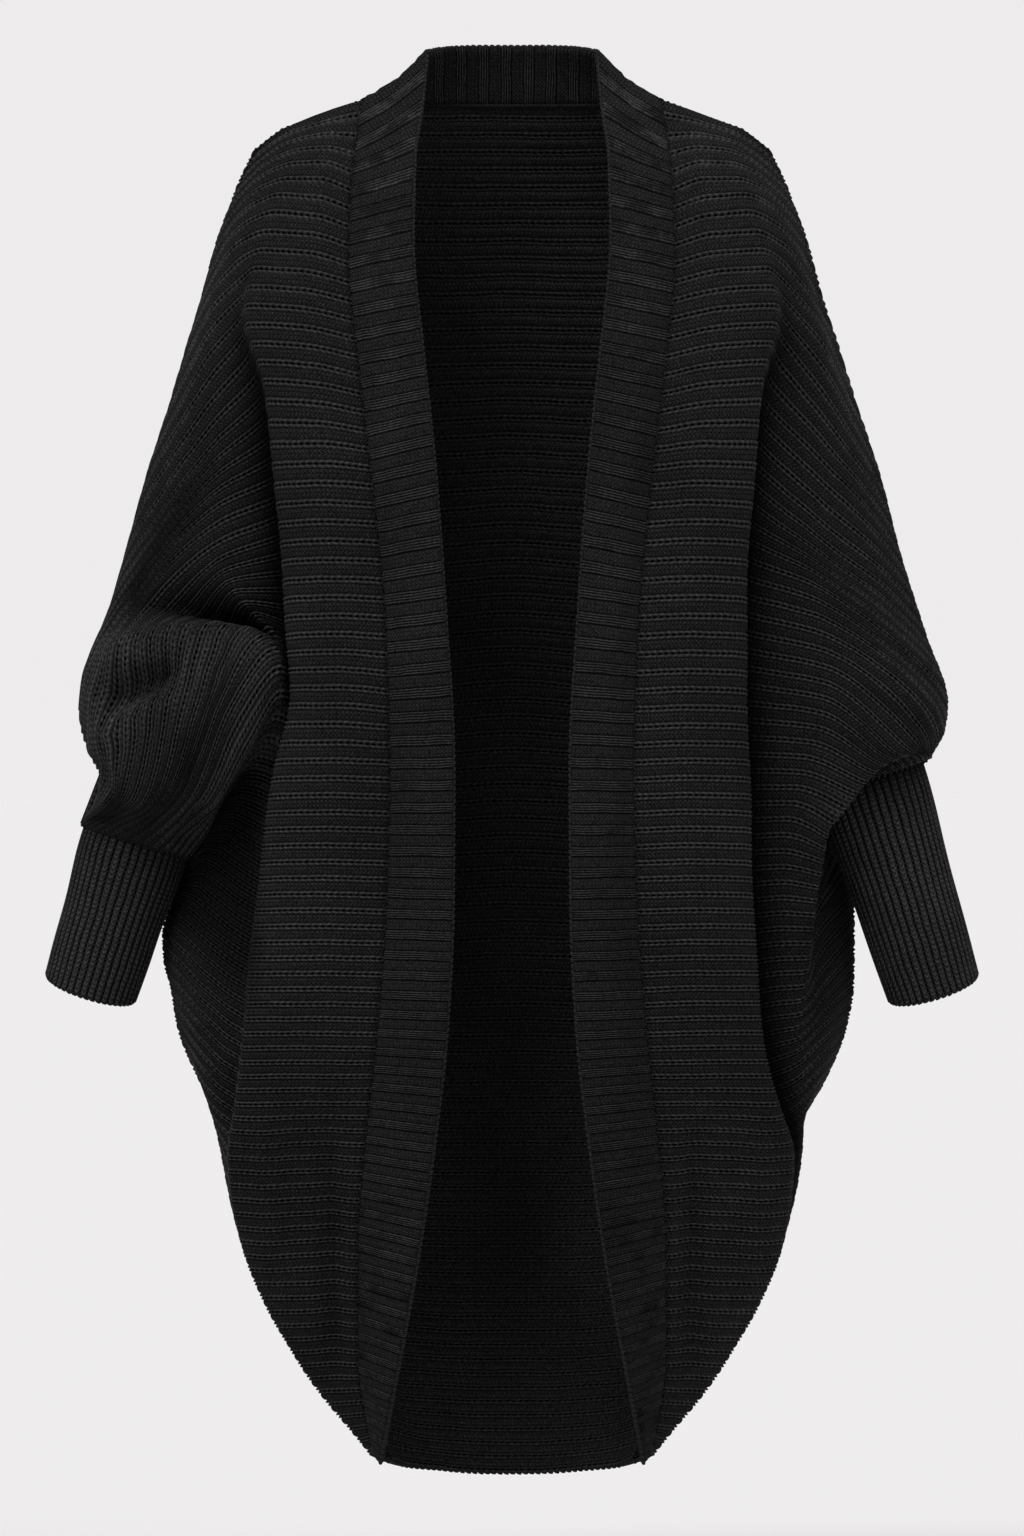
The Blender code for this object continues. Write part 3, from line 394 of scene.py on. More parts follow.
class ArmSide:
    """One side's outer seam: overarm, the ring round the forearm, and the side seam."""

    def __init__(self, start_share: float, elbow: tuple, underarm: tuple,
                 overarm_ribs: tuple, cuff_ribs: tuple, side_ribs: tuple) -> None:
        """Lays out the seam lines.

        Args:
            start_share: share of the forearm's axis where its tube begins.
            elbow: points between the overarm seam and the tube.
            underarm: points between the tube and the side seam.
            overarm_ribs: (rib, z) rows of the overarm seam.
            cuff_ribs: first and last rib that meet the tube.
            side_ribs: (rib, z) rows of the side seam.
        """
        self.tube, self.cuff_ribs = ForearmTube(start_share), cuff_ribs
        outer, inner = tuple(self.tube.ring(0.0)), tuple(self.tube.ring(math.pi))
        self.overarm = np.array((*OVERARM_SEAM, *elbow, outer), float)
        self.side = np.array((inner, *underarm, *SIDE_SEAM), float)
        self.arm_table = self.fitted(overarm_ribs, self.overarm)
        self.side_table = self.fitted(side_ribs, self.side)

    @staticmethod
    def fitted(rows: tuple, line: np.ndarray) -> np.ndarray:
        """The (rib, z) rows with their heights fitted to the seam line's own ends."""
        table = np.array(rows, float)
        share = (table[:, 1] - table[0, 1]) / (table[-1, 1] - table[0, 1])
        table[:, 1] = line[0, 2] + share * (line[-1, 2] - line[0, 2])
        return table

    @staticmethod
    def at_height(line: np.ndarray, heights: np.ndarray) -> np.ndarray:
        """Points of a falling seam line at the heights."""
        return smooth_through(-line[:, 2], line, -np.asarray(heights, float))

    def squared(self, toward: np.ndarray, line: np.ndarray, heights: np.ndarray) -> np.ndarray:
        """Ways turned square to a seam line at the heights."""
        along = unit(self.at_height(line, heights - SEAM_STEP) - self.at_height(line, heights))
        return unit(toward - (toward * along).sum(axis=1, keepdims=True) * along)

    def seam(self, ribs: np.ndarray, cuff_turn: float) -> tuple[np.ndarray, np.ndarray]:
        """Seam points and the ways the wall goes in there, one for each rib.

        Args:
            ribs: rib positions from the shoulder down.
            cuff_turn: pi for a front panel and -pi for the back.

        Returns:
            The points and the inward unit vectors.
        """
        first, last = self.cuff_ribs
        points, inward = np.zeros((2, len(ribs), 3))
        arm, side = ribs <= first, ribs >= last
        ring = ~(arm | side)
        for chosen, table, line, ways in (
            (arm, self.arm_table, self.overarm, self.overarm_inward),
            (side, self.side_table, self.side, self.side_inward),
        ):
            heights = smooth_through(table[:, 0], table[:, 1:], ribs[chosen])[:, 0]
            points[chosen], inward[chosen] = self.at_height(line, heights), ways(heights)
        turns = cuff_turn * (ribs[ring] - first) / (last - first)
        points[ring], inward[ring] = self.tube.ring(turns), -self.tube.radial(turns)
        return points, inward

    def overarm_inward(self, heights: np.ndarray) -> np.ndarray:
        """Ways from the overarm seam into the arm, square to the seam."""
        bend = np.clip((self.overarm[0, 2] - heights) / TIP_TURN, 0.0, 1.0)[:, None]
        toward = (1 - bend) * np.array(TIP_INWARD) + bend * np.array(ARM_INWARD)
        toward = self.squared(toward, self.overarm, heights)
        turn_length = CUFF_TURN_TOP - self.overarm[-1, 2]
        share = np.clip((CUFF_TURN_TOP - heights) / turn_length, 0.0, 1.0)[:, None]
        return unit((1 - share) * toward - share * self.tube.radial(0.0))

    def side_inward(self, heights: np.ndarray) -> np.ndarray:
        """Ways from the side seam into the body, square to the seam."""
        heights = np.maximum(heights, self.side[-1, 2] + SEAM_STEP)
        return self.squared(np.array([SIDE_INWARD]), self.side, heights)


LEFT = ArmSide(0.0, LEFT_ELBOW, LEFT_UNDERARM,
               LEFT_OVERARM_RIBS, LEFT_CUFF_RIBS, LEFT_SIDE_RIBS)
RIGHT = ArmSide(RIGHT_TUBE_START, RIGHT_ELBOW, RIGHT_UNDERARM,
                RIGHT_OVERARM_RIBS, RIGHT_CUFF_RIBS, RIGHT_SIDE_RIBS)

CREASE_FADE = 0.3      # share of a crease over which each of its ends rises
CREASE_START = 0.15    # how far that rise has got at the very end
# Waves of the cloth: height in mm, then twice what x, y and z are divided by and a start
SWAYS = (
    (0.45, (23, math.inf, 41, 0.0), (math.inf, 31, -29, 1.3)),
    (0.35, (13, -17, math.inf, 0.7), (math.inf, math.inf, 19, 2.1)),
)


@dataclass(frozen=True)
class Crease:
    """A crease seen from the front or back, from (x0, z0) to (x1, z1).

    depth_mm lifts the cloth, or sinks it where it is below zero.
    """

    x0: float
    z0: float
    x1: float
    z1: float
    width_mm: float
    depth_mm: float

    def lift(self, points: np.ndarray) -> np.ndarray:
        """How far each point of a panel rises along its normal."""
        start = np.array([self.x0, self.z0])
        run = np.array([self.x1, self.z1]) - start
        flat = points[..., (0, 2)] - start
        share = (flat @ run) / (run @ run)
        gap = np.linalg.norm(flat - np.clip(share, 0, 1)[..., None] * run, axis=-1)
        ends = (eased(share / CREASE_FADE + CREASE_START)
                * eased((1 - share) / CREASE_FADE + CREASE_START))
        return self.depth_mm * np.exp(-((gap / self.width_mm) ** 2)) * ends


def cloth_sway(points: np.ndarray) -> np.ndarray:
    """A slight unevenness of hand-steamed cloth, in mm, from where each point lies."""
    def wave(x_mm: float, y_mm: float, z_mm: float, start: float) -> np.ndarray:
        """A sine that runs slantwise through the cloth."""
        return np.sin((points / (x_mm, y_mm, z_mm)).sum(axis=-1) + start)

    return sum(height * wave(*first) * wave(*second) for height, first, second in SWAYS)


@dataclass
class WallSide:
    """One face of a wall of cloth: its points, the ways it faces, and its rib marks."""

    points: np.ndarray
    facing: np.ndarray
    ribs: np.ndarray
    along: np.ndarray
    gather: np.ndarray = None
    # painted shade that darkens the knit's colour; below zero it is painted light
    shade: np.ndarray = None

    @property
    def shape(self) -> tuple[int, int]:
        """Rows and columns."""
        return self.points.shape[:2]

    def marks(self, label: str) -> np.ndarray:
        """A mark of each point, from one for each row, for each point or none at all."""
        values = getattr(self, label)
        if values is None:
            return np.zeros(self.shape)
        return np.repeat(values[:, None], self.shape[1], axis=1) if values.ndim == 1 else values


@dataclass(frozen=True)
class RibSection:
    """A rib repeat cut across: (share of the repeat, share of rise_mm) rows."""

    rows: tuple
    rise_mm: float

    def marks(self, ribs: int) -> np.ndarray:
        """Every row position of a panel with so many ribs."""
        shares = np.array([row[0] for row in self.rows])
        return np.append((np.arange(ribs)[:, None] + shares).ravel(), ribs)


BODY_SECTION = RibSection(
    ((0.0, 0.12), (0.05, 0.6), (0.13, 0.85), (0.27, 0.95), (0.41, 0.85), (0.49, 0.6),
     (0.56, 0.1), (0.61, 0.75), (0.66, 1.05), (0.71, 0.7), (0.78, 0.2), (0.85, 0.7),
     (0.90, 1.05), (0.95, 0.75)), 2.3)
BODY_LINING = RibSection(
    ((0.0, 0.1), (0.06, 0.75), (0.27, 0.95), (0.48, 0.7), (0.56, 0.1), (0.66, 0.95),
     (0.78, 0.25), (0.90, 0.95)), 1.5)
PLAIN_LINING = RibSection(((0.0, 0.1), (0.25, 0.8), (0.5, 0.1), (0.75, 0.8)), 0.9)
BAND_SECTION = RibSection(
    ((0.0, 0.0), (0.04, 0.45), (0.14, 0.6), (0.28, 0.65), (0.42, 0.6), (0.49, 0.45),
     (0.53, 0.05), (0.58, 0.9), (0.635, 0.3), (0.69, 0.95), (0.745, 0.3), (0.80, 0.95),
     (0.855, 0.3), (0.91, 0.9), (0.96, 0.0)), 1.8)
CUFF_SECTION = RibSection(
    ((0.0, 0.2), (0.15, 0.75), (0.36, 1.0), (0.57, 0.75), (0.72, 0.2), (0.86, 0.0)), 0.8)

NOISE_DETAIL = 3.0
NOISE_MIDDLE = (0.3, 0.7)    # where most of a noise lies


class Wiring:
    """Adds nodes to one tree and joins their sockets."""

    def __init__(self, tree: bpy.types.NodeTree) -> None:
        """Starts on an emptied tree."""
        self.tree = tree
        tree.nodes.clear()

    def node(self, kind: str, inputs: dict | None = None, **settings: object) -> bpy.types.Node:
        """Adds a node.

        Args:
            kind: the node's type.
            inputs: a socket or a plain value for each input, by its name or number.
            settings: the node's own settings.

        Returns:
            The new node.
        """
        made = self.tree.nodes.new(kind)
        for name, value in settings.items():
            setattr(made, name, value)
        for at, value in (inputs or {}).items():
            if isinstance(value, Socket):
                self.tree.links.new(value, made.inputs[at])
            else:
                made.inputs[at].default_value = value
        return made

    def out(self, kind: str, inputs: dict | None = None, **settings: object) -> Socket:
        """The first output of a new node."""
        return self.node(kind, inputs, **settings).outputs[0]

    def math(self, operation: str, *values: object) -> Socket:
        """The result of a maths node on sockets or numbers."""
        return self.out("ShaderNodeMath", dict(enumerate(values)), operation=operation)

    def product(self, first: object, *others: object) -> Socket:
        """Sockets or numbers multiplied in turn."""
        for other in others:
            first = self.math("MULTIPLY", first, other)
        return first

    def scaled(self, vector: object, factor: object) -> Socket:
        """A vector or colour times a factor."""
        return self.out("ShaderNodeVectorMath", {0: vector, "Scale": factor}, operation="SCALE")

    def wave(self, turns: object) -> Socket:
        """A cosine from 0 to 1 that repeats once a turn."""
        angle = self.math("MULTIPLY", turns, 2 * math.pi)
        return self.math("MULTIPLY_ADD", self.math("COSINE", angle), 0.5, 0.5)

    def hump(self, value: object, middle: float, width: float) -> Socket:
        """A bell round a middle value, 1 at its top."""
        away = self.math("DIVIDE", self.math("SUBTRACT", value, middle), width)
        return self.math("EXPONENT", self.product(away, away, -1.0))

    def noise(self, scale: float) -> Socket:
        """Smooth noise in the object's own space, with so many features in a metre."""
        place = self.node("ShaderNodeTexCoord").outputs["Object"]
        return self.out("ShaderNodeTexNoise", {
            "Vector": place, "Scale": scale, "Detail": NOISE_DETAIL})

    def between(self, value: object, low: float, high: float,
                to_low: object, to_high: object) -> Socket:
        """The value's place between low and high, mapped to two ends and held there."""
        return self.out("ShaderNodeMapRange", {
            "Value": value, "From Min": low, "From Max": high, "To Min": to_low,
            "To Max": to_high})

    def mottle(self, scale: float, stray: float) -> tuple[Socket, Socket]:
        """A tone about 1 that strays so far either way with a noise, and that noise."""
        noise = self.noise(scale)
        return self.between(noise, *NOISE_MIDDLE, 1 - stray, 1 + stray), noise

    def mark(self, name: str) -> Socket:
        """A mark that the cloth's points carry."""
        return self.node("ShaderNodeAttribute", attribute_name=name).outputs["Fac"]


def new_material(name: str) -> tuple[bpy.types.Material, Wiring]:
    """A new material, and the wiring of its emptied tree."""
    made = bpy.data.materials.new(name)
    made.use_nodes = True
    return made, Wiring(made.node_tree)


def shown(piece_name: str, data: bpy.types.ID) -> bpy.types.Object:
    """A new object of the data, at the origin of the scene."""
    made = bpy.data.objects.new(piece_name, data)
    bpy.context.scene.collection.objects.link(made)
    return made


WANDER_SCALES = (55.0, 40.0)     # features in a metre of the rows' and the loops' straying
FLAT_BLUR = 0.03        # share of a repeat over which the plain knit gives way to rows
VEE_RISE = 0.8          # height of a V loop against a row's loop
GATHER_CALM = -0.8      # how far gathers flatten the V loops
VEE_SHARPNESS = 1.6
VEE_ROUNDING = 4.0      # the power by which a V loop falls off to its edge
VEE_SHARES = (0.9, 0.1)      # of a V loop's height: its stroke, and the ground under it
ROW_LEAN = 2.0          # how far a row's loops lean, in loops for each repeat
HOLE_SHARPNESS = 1.5
# painted shade in the holes
HOLE_TONE = 1.3
FLAT_GROUND = 0.12      # painted light on the plain knit's ground, as a share of its V loops'
LEAST_TONE = 0.04


@dataclass(frozen=True)
class StitchPattern:
    """How the loops of the yarn lie on one repeat of a rib.

    The first flat_share of the repeat is plain knit with so many columns of V loops,
    rows of larger loops stand at bead_rows, and a row of holes lies at hole_share.
    """

    flat_share: float
    columns: float
    stitch_mm: float
    bead_rows: tuple
    bead_mm: float
    hole_share: float
    row_width: float = 0.105
    bead_depth: float = 0.48     # how far a row sinks between its loops
    hole_width: float = 0.055
    hole_depth: float = 1.0
    # Painted light and shade: flat_tone on the V loops, row_tone on the rows' loops, ground_tone
    # left in the grooves
    flat_tone: float = 1.4
    row_tone: float = 2.5
    ground_tone: float = 0.05
    slant: float = 0.85
    gathered_rows: tuple = ()    # further rows where the cloth is gathered
    wander: float = 0.14         # how far the rows stray, as a share of the repeat

    def read(self, w: Wiring) -> tuple[Socket, Socket]:
        """Height of the yarn over its ground, and its tone: painted light on the raised loops and
        painted shade in the holes and grooves.
        """
        marks = w.node("ShaderNodeSeparateXYZ", {0: w.out("ShaderNodeUVMap", uv_map="knit")})
        along, ribs = marks.outputs["X"], marks.outputs["Y"]
        drift, slip = (w.math("SUBTRACT", w.noise(scale), 0.5) for scale in WANDER_SCALES)
        share = w.math("FRACT", w.math("MULTIPLY_ADD", drift, self.wander, ribs))
        run = w.math("MULTIPLY_ADD", slip, self.stitch_mm, along)
        gather = w.mark("gather")
        flat = w.between(share, self.flat_share - FLAT_BLUR, self.flat_share, 1.0, 0.0)
        vees = w.product(self.vees(w, share, run), flat,
                         w.math("MULTIPLY_ADD", gather, GATHER_CALM, 1.0))
        beads = w.math("DIVIDE", run, self.bead_mm)
        rows, holes = self.braid(w, share, beads, self.bead_rows, self.hole_share)
        if self.gathered_rows:
            more, gaps = self.braid(w, share, beads, self.gathered_rows,
                                    sum(self.gathered_rows) / 2)
            rows = w.math("MAXIMUM", rows, w.product(more, gather))
            holes = w.math("MAXIMUM", holes, w.product(gaps, gather))
        dots = w.math("POWER", w.wave(w.math("ADD", beads, 0.5)), HOLE_SHARPNESS)
        holes = w.product(holes, dots, self.hole_depth)
        height = w.math("SUBTRACT", w.math("MULTIPLY_ADD", vees, VEE_RISE, rows), holes)
        # Painted light on the raised loops and rows, painted shade in the holes
        tone = w.math("MULTIPLY_ADD", rows, self.row_tone, self.ground_tone)
        tone = w.math("MULTIPLY_ADD", flat, self.flat_tone * FLAT_GROUND, tone)
        tone = w.math("MULTIPLY_ADD", vees, self.flat_tone, tone)
        tone = w.math("SUBTRACT", tone, w.product(holes, HOLE_TONE))
        return height, w.math("MAXIMUM", tone, LEAST_TONE)

    def vees(self, w: Wiring, share: Socket, run: Socket) -> Socket:
        """Columns of V loops, each loop with two slanting legs."""
        column = w.math("FRACT", w.product(share, self.columns / self.flat_share))
        leg = w.product(w.math("ABSOLUTE", w.math("SUBTRACT", column, 0.5)), 2.0)
        loops = w.math("DIVIDE", run, self.stitch_mm)
        slanting = w.wave(w.math("MULTIPLY_ADD", leg, self.slant, loops))
        stroke = w.math("POWER", slanting, VEE_SHARPNESS)
        rounded = w.math("SUBTRACT", 1.0, w.math("POWER", leg, VEE_ROUNDING))
        return w.product(w.math("MULTIPLY_ADD", stroke, *VEE_SHARES), rounded)

    def braid(self, w: Wiring, share: Socket, beads: Socket, rows_at: tuple,
              hole_at: float) -> tuple[Socket, Socket]:
        """Rows of leaning loops at rows_at, and the line of holes between them."""
        away = w.math("ABSOLUTE", w.math("SUBTRACT", share, hole_at))
        lean = w.math("MULTIPLY_ADD", away, ROW_LEAN, beads)
        loop = w.math("MULTIPLY_ADD", w.wave(lean), self.bead_depth, 1.0 - self.bead_depth)
        rows = 0.0
        for at in rows_at:
            rows = w.math("MAXIMUM", rows, w.hump(share, at, self.row_width))
        return w.product(rows, loop), w.hump(share, hole_at, self.hole_width)


BODY_STITCH = StitchPattern(0.53, 2.0, 2.8, (0.66, 0.90), 4.6, 0.78, gathered_rows=(0.16, 0.38))
INSIDE_STITCH = replace(BODY_STITCH, row_width=0.095, bead_depth=0.5, row_tone=1.25,
                        flat_tone=1.2, ground_tone=0.3, hole_depth=0.7, gathered_rows=())
BAND_STITCH = StitchPattern(0.51, 3.0, 2.7, (0.58, 0.69, 0.80, 0.91), 4.6, 0.80, row_width=0.03,
                            bead_depth=0.25, hole_depth=0.0, flat_tone=1.1, row_tone=2.0,
                            ground_tone=0.14)
CUFF_STITCH = StitchPattern(0.74, 1.0, 3.5, (), 3.5, 0.87, hole_width=0.09, flat_tone=1.9,
                            ground_tone=0.45, slant=0.6, wander=0.45, hole_depth=0.8)
PLAIN_STITCH = StitchPattern(0.98, 4.0, 2.9, (), 2.9, 0.5, hole_width=0.04, hole_depth=0.5)

# Noise in the yarn: features in a metre, and how far the tone strays with it
YARN_FIBRE = (700.0, 0.4)
KNIT_FIBRE = (620.0, 0.5)
KNIT_PATCH = (9.0, 0.15)
BLUE_TINT = 1.03
WOOL = {"Roughness": 0.9, "Sheen Weight": 0.012, "Sheen Roughness": 0.5,
        "Sheen Tint": (0.6, 0.6, 0.62, 1.0), "Specular IOR Level": 0.02}


@dataclass(frozen=True)
class YarnFinish:
    """Matt black wool yarn with a little fuzz."""

    name: str
    tone: float
    depth_mm: float = 0.5

    def wool(self, w: Wiring) -> tuple[Socket, Socket]:
        """How light the wool looks, about 1, and its height, about 0 to 1."""
        return w.mottle(*YARN_FIBRE)

    def material(self) -> bpy.types.Material:
        """Builds the finish."""
        made, w = new_material(self.name)
        tone, height = self.wool(w)
        colour = (self.tone, self.tone, self.tone * BLUE_TINT)
        shader = w.out("ShaderNodeBsdfPrincipled", {
            "Base Color": w.scaled(colour, tone),
            "Normal": w.out("ShaderNodeBump", {"Distance": self.depth_mm * MM,
                                               "Height": height}),
            **WOOL,
        })
        w.node("ShaderNodeOutputMaterial", {"Surface": shader})
        made.diffuse_color = (*colour, 1.0)
        return made


@dataclass(frozen=True)
class KnitFinish(YarnFinish):
    """Matt black wool knit, its loops read from the piece's own yarn marks."""

    depth_mm: float = 1.1
    pattern: StitchPattern = BODY_STITCH
    fuzz: float = 0.3

    def wool(self, w: Wiring) -> tuple[Socket, Socket]:
        """The stitches' tone and height, with fine fibre and faint wider patches; the tone
        carries the loops' painted light and shade, and the piece's painted shade darkens it.
        """
        height, tone = self.pattern.read(w)
        (fine, fibre), (patch, _) = w.mottle(*KNIT_FIBRE), w.mottle(*KNIT_PATCH)
        # Darkened by the painted shade that the cloth's points carry
        tone = w.product(tone, fine, patch, w.math("SUBTRACT", 1.0, w.mark("shade")))
        return tone, w.math("MULTIPLY_ADD", fibre, self.fuzz, height)


class GeometryTree:
    """A Geometry Nodes tree with named inputs, and its use on an object."""

    def __init__(self, name: str, sizes: dict[str, float], materials: tuple) -> None:
        """Makes the tree's sockets.

        Args:
            name: the tree's name.
            sizes: a name and a usual value for each number.
            materials: a name for each material.
        """
        self.tree = bpy.data.node_groups.new(name, "GeometryNodeTree")
        face, self.sockets = self.tree.interface, {}
        kinds = {"Geometry": "Geometry", **dict.fromkeys(sizes, "Float"),
                 **dict.fromkeys(materials, "Material")}
        for label, kind in kinds.items():
            made = face.new_socket(label, in_out="INPUT", socket_type=f"NodeSocket{kind}")
            self.sockets[label] = made.identifier
            if label in sizes:
                made.default_value = sizes[label]
        face.new_socket("Geometry", in_out="OUTPUT", socket_type="NodeSocketGeometry")
        self.wire = Wiring(self.tree)
        self.given = self.wire.node("NodeGroupInput").outputs

    def named(self, attribute: str, kind: str = "FLOAT") -> Socket:
        """A named attribute of the geometry."""
        return self.wire.out("GeometryNodeInputNamedAttribute", {"Name": attribute},
                             data_type=kind)

    def dressed(self, geometry: Socket, finish: str, chosen: object = True) -> Socket:
        """The geometry with the material given under a name, on the chosen faces."""
        return self.wire.out("GeometryNodeSetMaterial", {
            "Geometry": geometry, "Selection": chosen, "Material": self.given[finish]})

    def end(self, geometry: Socket) -> None:
        """Joins the last geometry to the tree's output."""
        self.wire.node("NodeGroupOutput", {0: geometry})

    def made_solid(self, piece: bpy.types.Object, values: dict) -> None:
        """Runs the tree on an object, which keeps the plain mesh and no modifier.

        Args:
            piece: the object whose mesh goes in.
            values: a value for each named input.
        """
        modifier = piece.modifiers.new(self.tree.name, "NODES")
        modifier.node_group = self.tree
        for name, value in values.items():
            modifier[self.sockets[name]] = value
        graph = bpy.context.evaluated_depsgraph_get()
        mesh = bpy.data.meshes.new_from_object(
            piece.evaluated_get(graph), preserve_all_data_layers=True, depsgraph=graph)
        piece.modifiers.clear()
        piece.data = mesh
        mesh.name = piece.name
        mesh.shade_smooth()


class RibRelief(GeometryTree):
    """Raises the ribs of a section out of a wall, and gives both faces their finish."""

    CURVE_TOP = 1.1      # heights go into a curve node divided by this, which keeps them below 1
    LINING_FROM = 0.75   # how far inside the wall a face counts as lining

    def __init__(self, name: str, outside: RibSection, lining: RibSection) -> None:
        """Builds the tree for one pair of sections."""
        sizes = {"Rise": outside.rise_mm * MM, "Lining Rise": lining.rise_mm * MM}
        super().__init__(name, sizes, ("Outside", "Lining"))
        w, inside = self.wire, self.named("inside")
        share = w.math("FRACT", self.named("rib"))
        heights = [w.product(self.height(section, share), self.given[size])
                   for section, size in zip((outside, lining), sizes)]
        lift = w.between(inside, 0.0, 1.0, *heights)
        moved = w.out("GeometryNodeSetPosition", {
            "Geometry": self.given["Geometry"],
            "Offset": w.scaled(self.named("facing", "FLOAT_VECTOR"), lift)})
        outer = self.dressed(w.out("GeometryNodeRealizeInstances", {0: moved}), "Outside")
        self.end(self.dressed(outer, "Lining",
                              w.math("GREATER_THAN", inside, self.LINING_FROM)))

    def height(self, section: RibSection, share: Socket) -> Socket:
        """A section's height at a share of its repeat, as a share of its rise."""
        curve = self.wire.node("ShaderNodeFloatCurve", {"Value": share})
        points = curve.mapping.curves[0].points
        rows = section.rows + ((1.0, section.rows[0][1]),)
        while len(points) < len(rows):
            points.new(0.5, 0.5)
        for point, (at, height) in zip(points, rows):
            point.location = (at, height / self.CURVE_TOP)
            point.handle_type = "VECTOR"
        curve.mapping.update()
        return self.wire.product(curve.outputs[0], self.CURVE_TOP)


class StitchRow(GeometryTree):
    """Loops of yarn laid at an even pitch along a line on the cloth."""

    SEED = 7
    SPINDLE = {"Segments": 6, "Rings": 4, "Radius": 0.5}

    def __init__(self) -> None:
        """Builds the tree; a loop is a small spindle that leans by the tilt."""
        super().__init__("stitch_row", {"Pitch": 4 * MM, "Loop Length": 5 * MM,
                                        "Loop Width": 2 * MM, "Tilt": 0.0, "Sway": 0.12},
                         ("Yarn",))
        w, given = self.wire, self.given
        line = w.out("GeometryNodeMeshToCurve", {"Mesh": given["Geometry"]})
        spaced = w.out("GeometryNodeResampleCurve", {"Curve": line, "Length": given["Pitch"]},
                       mode="LENGTH")
        turned = w.out("FunctionNodeAlignRotationToVector",
                       {"Vector": w.out("GeometryNodeInputTangent")}, axis="Z")
        upright = w.out("FunctionNodeAlignRotationToVector", {
            "Rotation": turned, "Vector": self.named("facing", "FLOAT_VECTOR")},
            axis="X", pivot_axis="Z")
        sway = given["Sway"]
        lean = w.node("FunctionNodeRandomValue", {
            2: w.product(sway, -1.0), 3: sway, "Seed": self.SEED}, data_type="FLOAT")
        tilt = w.out("FunctionNodeAxisAngleToRotation", {
            "Axis": (1.0, 0.0, 0.0), "Angle": w.math("ADD", given["Tilt"], lean.outputs[1])})
        leaning = w.out("FunctionNodeRotateRotation",
                        {"Rotation": upright, "Rotate By": tilt}, rotation_space="LOCAL")
        bead = w.out("GeometryNodeMeshUVSphere", self.SPINDLE)
        size = w.out("ShaderNodeCombineXYZ", {
            "X": given["Loop Width"], "Y": given["Loop Width"], "Z": given["Loop Length"]})
        laid = w.out("GeometryNodeInstanceOnPoints", {
            "Points": spaced, "Instance": bead, "Rotation": leaning, "Scale": size})
        self.end(self.dressed(w.out("GeometryNodeRealizeInstances", {0: laid}), "Yarn"))


def strip_faces(outer: np.ndarray, inner: np.ndarray, flip: bool) -> list:
    """Triangles between two border lines that may count their points differently."""
    outer, inner, faces = outer.tolist(), inner.tolist(), []
    last_outer, last_inner = len(outer) - 1, len(inner) - 1
    i = j = 0
    while i < last_outer or j < last_inner:
        outer_next, inner_next = (i + 1) / max(last_outer, 1), (j + 1) / max(last_inner, 1)
        if j == last_inner or (i < last_outer and outer_next <= inner_next):
            face = (outer[i], outer[i + 1], inner[j])
            i += 1
        else:
            face = (outer[i], inner[j + 1], inner[j])
            j += 1
        faces.append(face[::-1] if flip else face)
    return faces


def grid_faces(index: np.ndarray, flip: bool) -> list:
    """Four-sided faces of a grid of point numbers."""
    corners = [index[:-1, :-1], index[1:, :-1], index[1:, 1:], index[:-1, 1:]]
    faces = np.stack([corner.ravel() for corner in corners], axis=1)
    return (faces[:, ::-1] if flip else faces).tolist()


MERGE_DISTANCE = 1e-7     # of the points where a tube's first and last rows meet


def wall_object(name: str, outer: WallSide, inner: WallSide, mirrored: bool,
                round_it: bool = False) -> bpy.types.Object:
    """A closed wall of cloth with the marks that its ribs and yarn follow.

    Args:
        name: the piece's name.
        outer: the wall's outer face.
        inner: the wall's inner face, with its own rows and columns.
        mirrored: whether the piece lies on the wearer's right.
        round_it: whether the first and last rows meet, as in a tube.

    Returns:
        The new object, at the origin.
    """
    sides = (outer, inner)

    def joined(label: str) -> np.ndarray:
        """A mark of the outer side's points, then of the inner side's."""
        return np.concatenate([side.marks(label).ravel() for side in sides])

    points = np.concatenate([side.points.reshape(-1, 3) for side in sides]) * MM
    facing = np.concatenate([side.facing.reshape(-1, 3) for side in sides])
    first_inner = outer.points[..., 0].size
    out = np.arange(first_inner).reshape(outer.shape)
    back = np.arange(first_inner, len(points)).reshape(inner.shape)
    faces = grid_faces(out, False) + grid_faces(back, True)
    faces += strip_faces(out[:, 0], back[:, 0], True)
    faces += strip_faces(out[:, -1], back[:, -1], False)
    if not round_it:
        faces += strip_faces(out[0], back[0], False)
        faces += strip_faces(out[-1], back[-1], True)
    if mirrored:
        points, facing = points * MIRROR, facing * MIRROR
        faces = [face[::-1] for face in faces]
    mesh = bpy.data.meshes.new(name)
    mesh.from_pydata(points.tolist(), [], faces)
    # shade carries painted shade, and painted light below zero, for the knit's colour
    marks = {"rib": joined("ribs"), "inside": np.arange(len(points)) >= first_inner,
             "gather": joined("gather"), "shade": joined("shade")}
    for label, values in marks.items():
        mesh.attributes.new(label, "FLOAT", "POINT").data.foreach_set(
            "value", values.astype(np.float32))
    mark_facing(mesh, facing)
    corner = np.zeros(len(mesh.loops), np.int32)
    mesh.loops.foreach_get("vertex_index", corner)
    knit = np.stack([joined("along")[corner], marks["rib"][corner]], axis=1)
    mesh.uv_layers.new(name="knit").data.foreach_set("uv", knit.astype(np.float32).ravel())
    if round_it:
        work = bmesh.new()
        work.from_mesh(mesh)
        bmesh.ops.remove_doubles(work, verts=work.verts, dist=MERGE_DISTANCE)
        work.to_mesh(mesh)
        work.free()
    return shown(name, mesh)


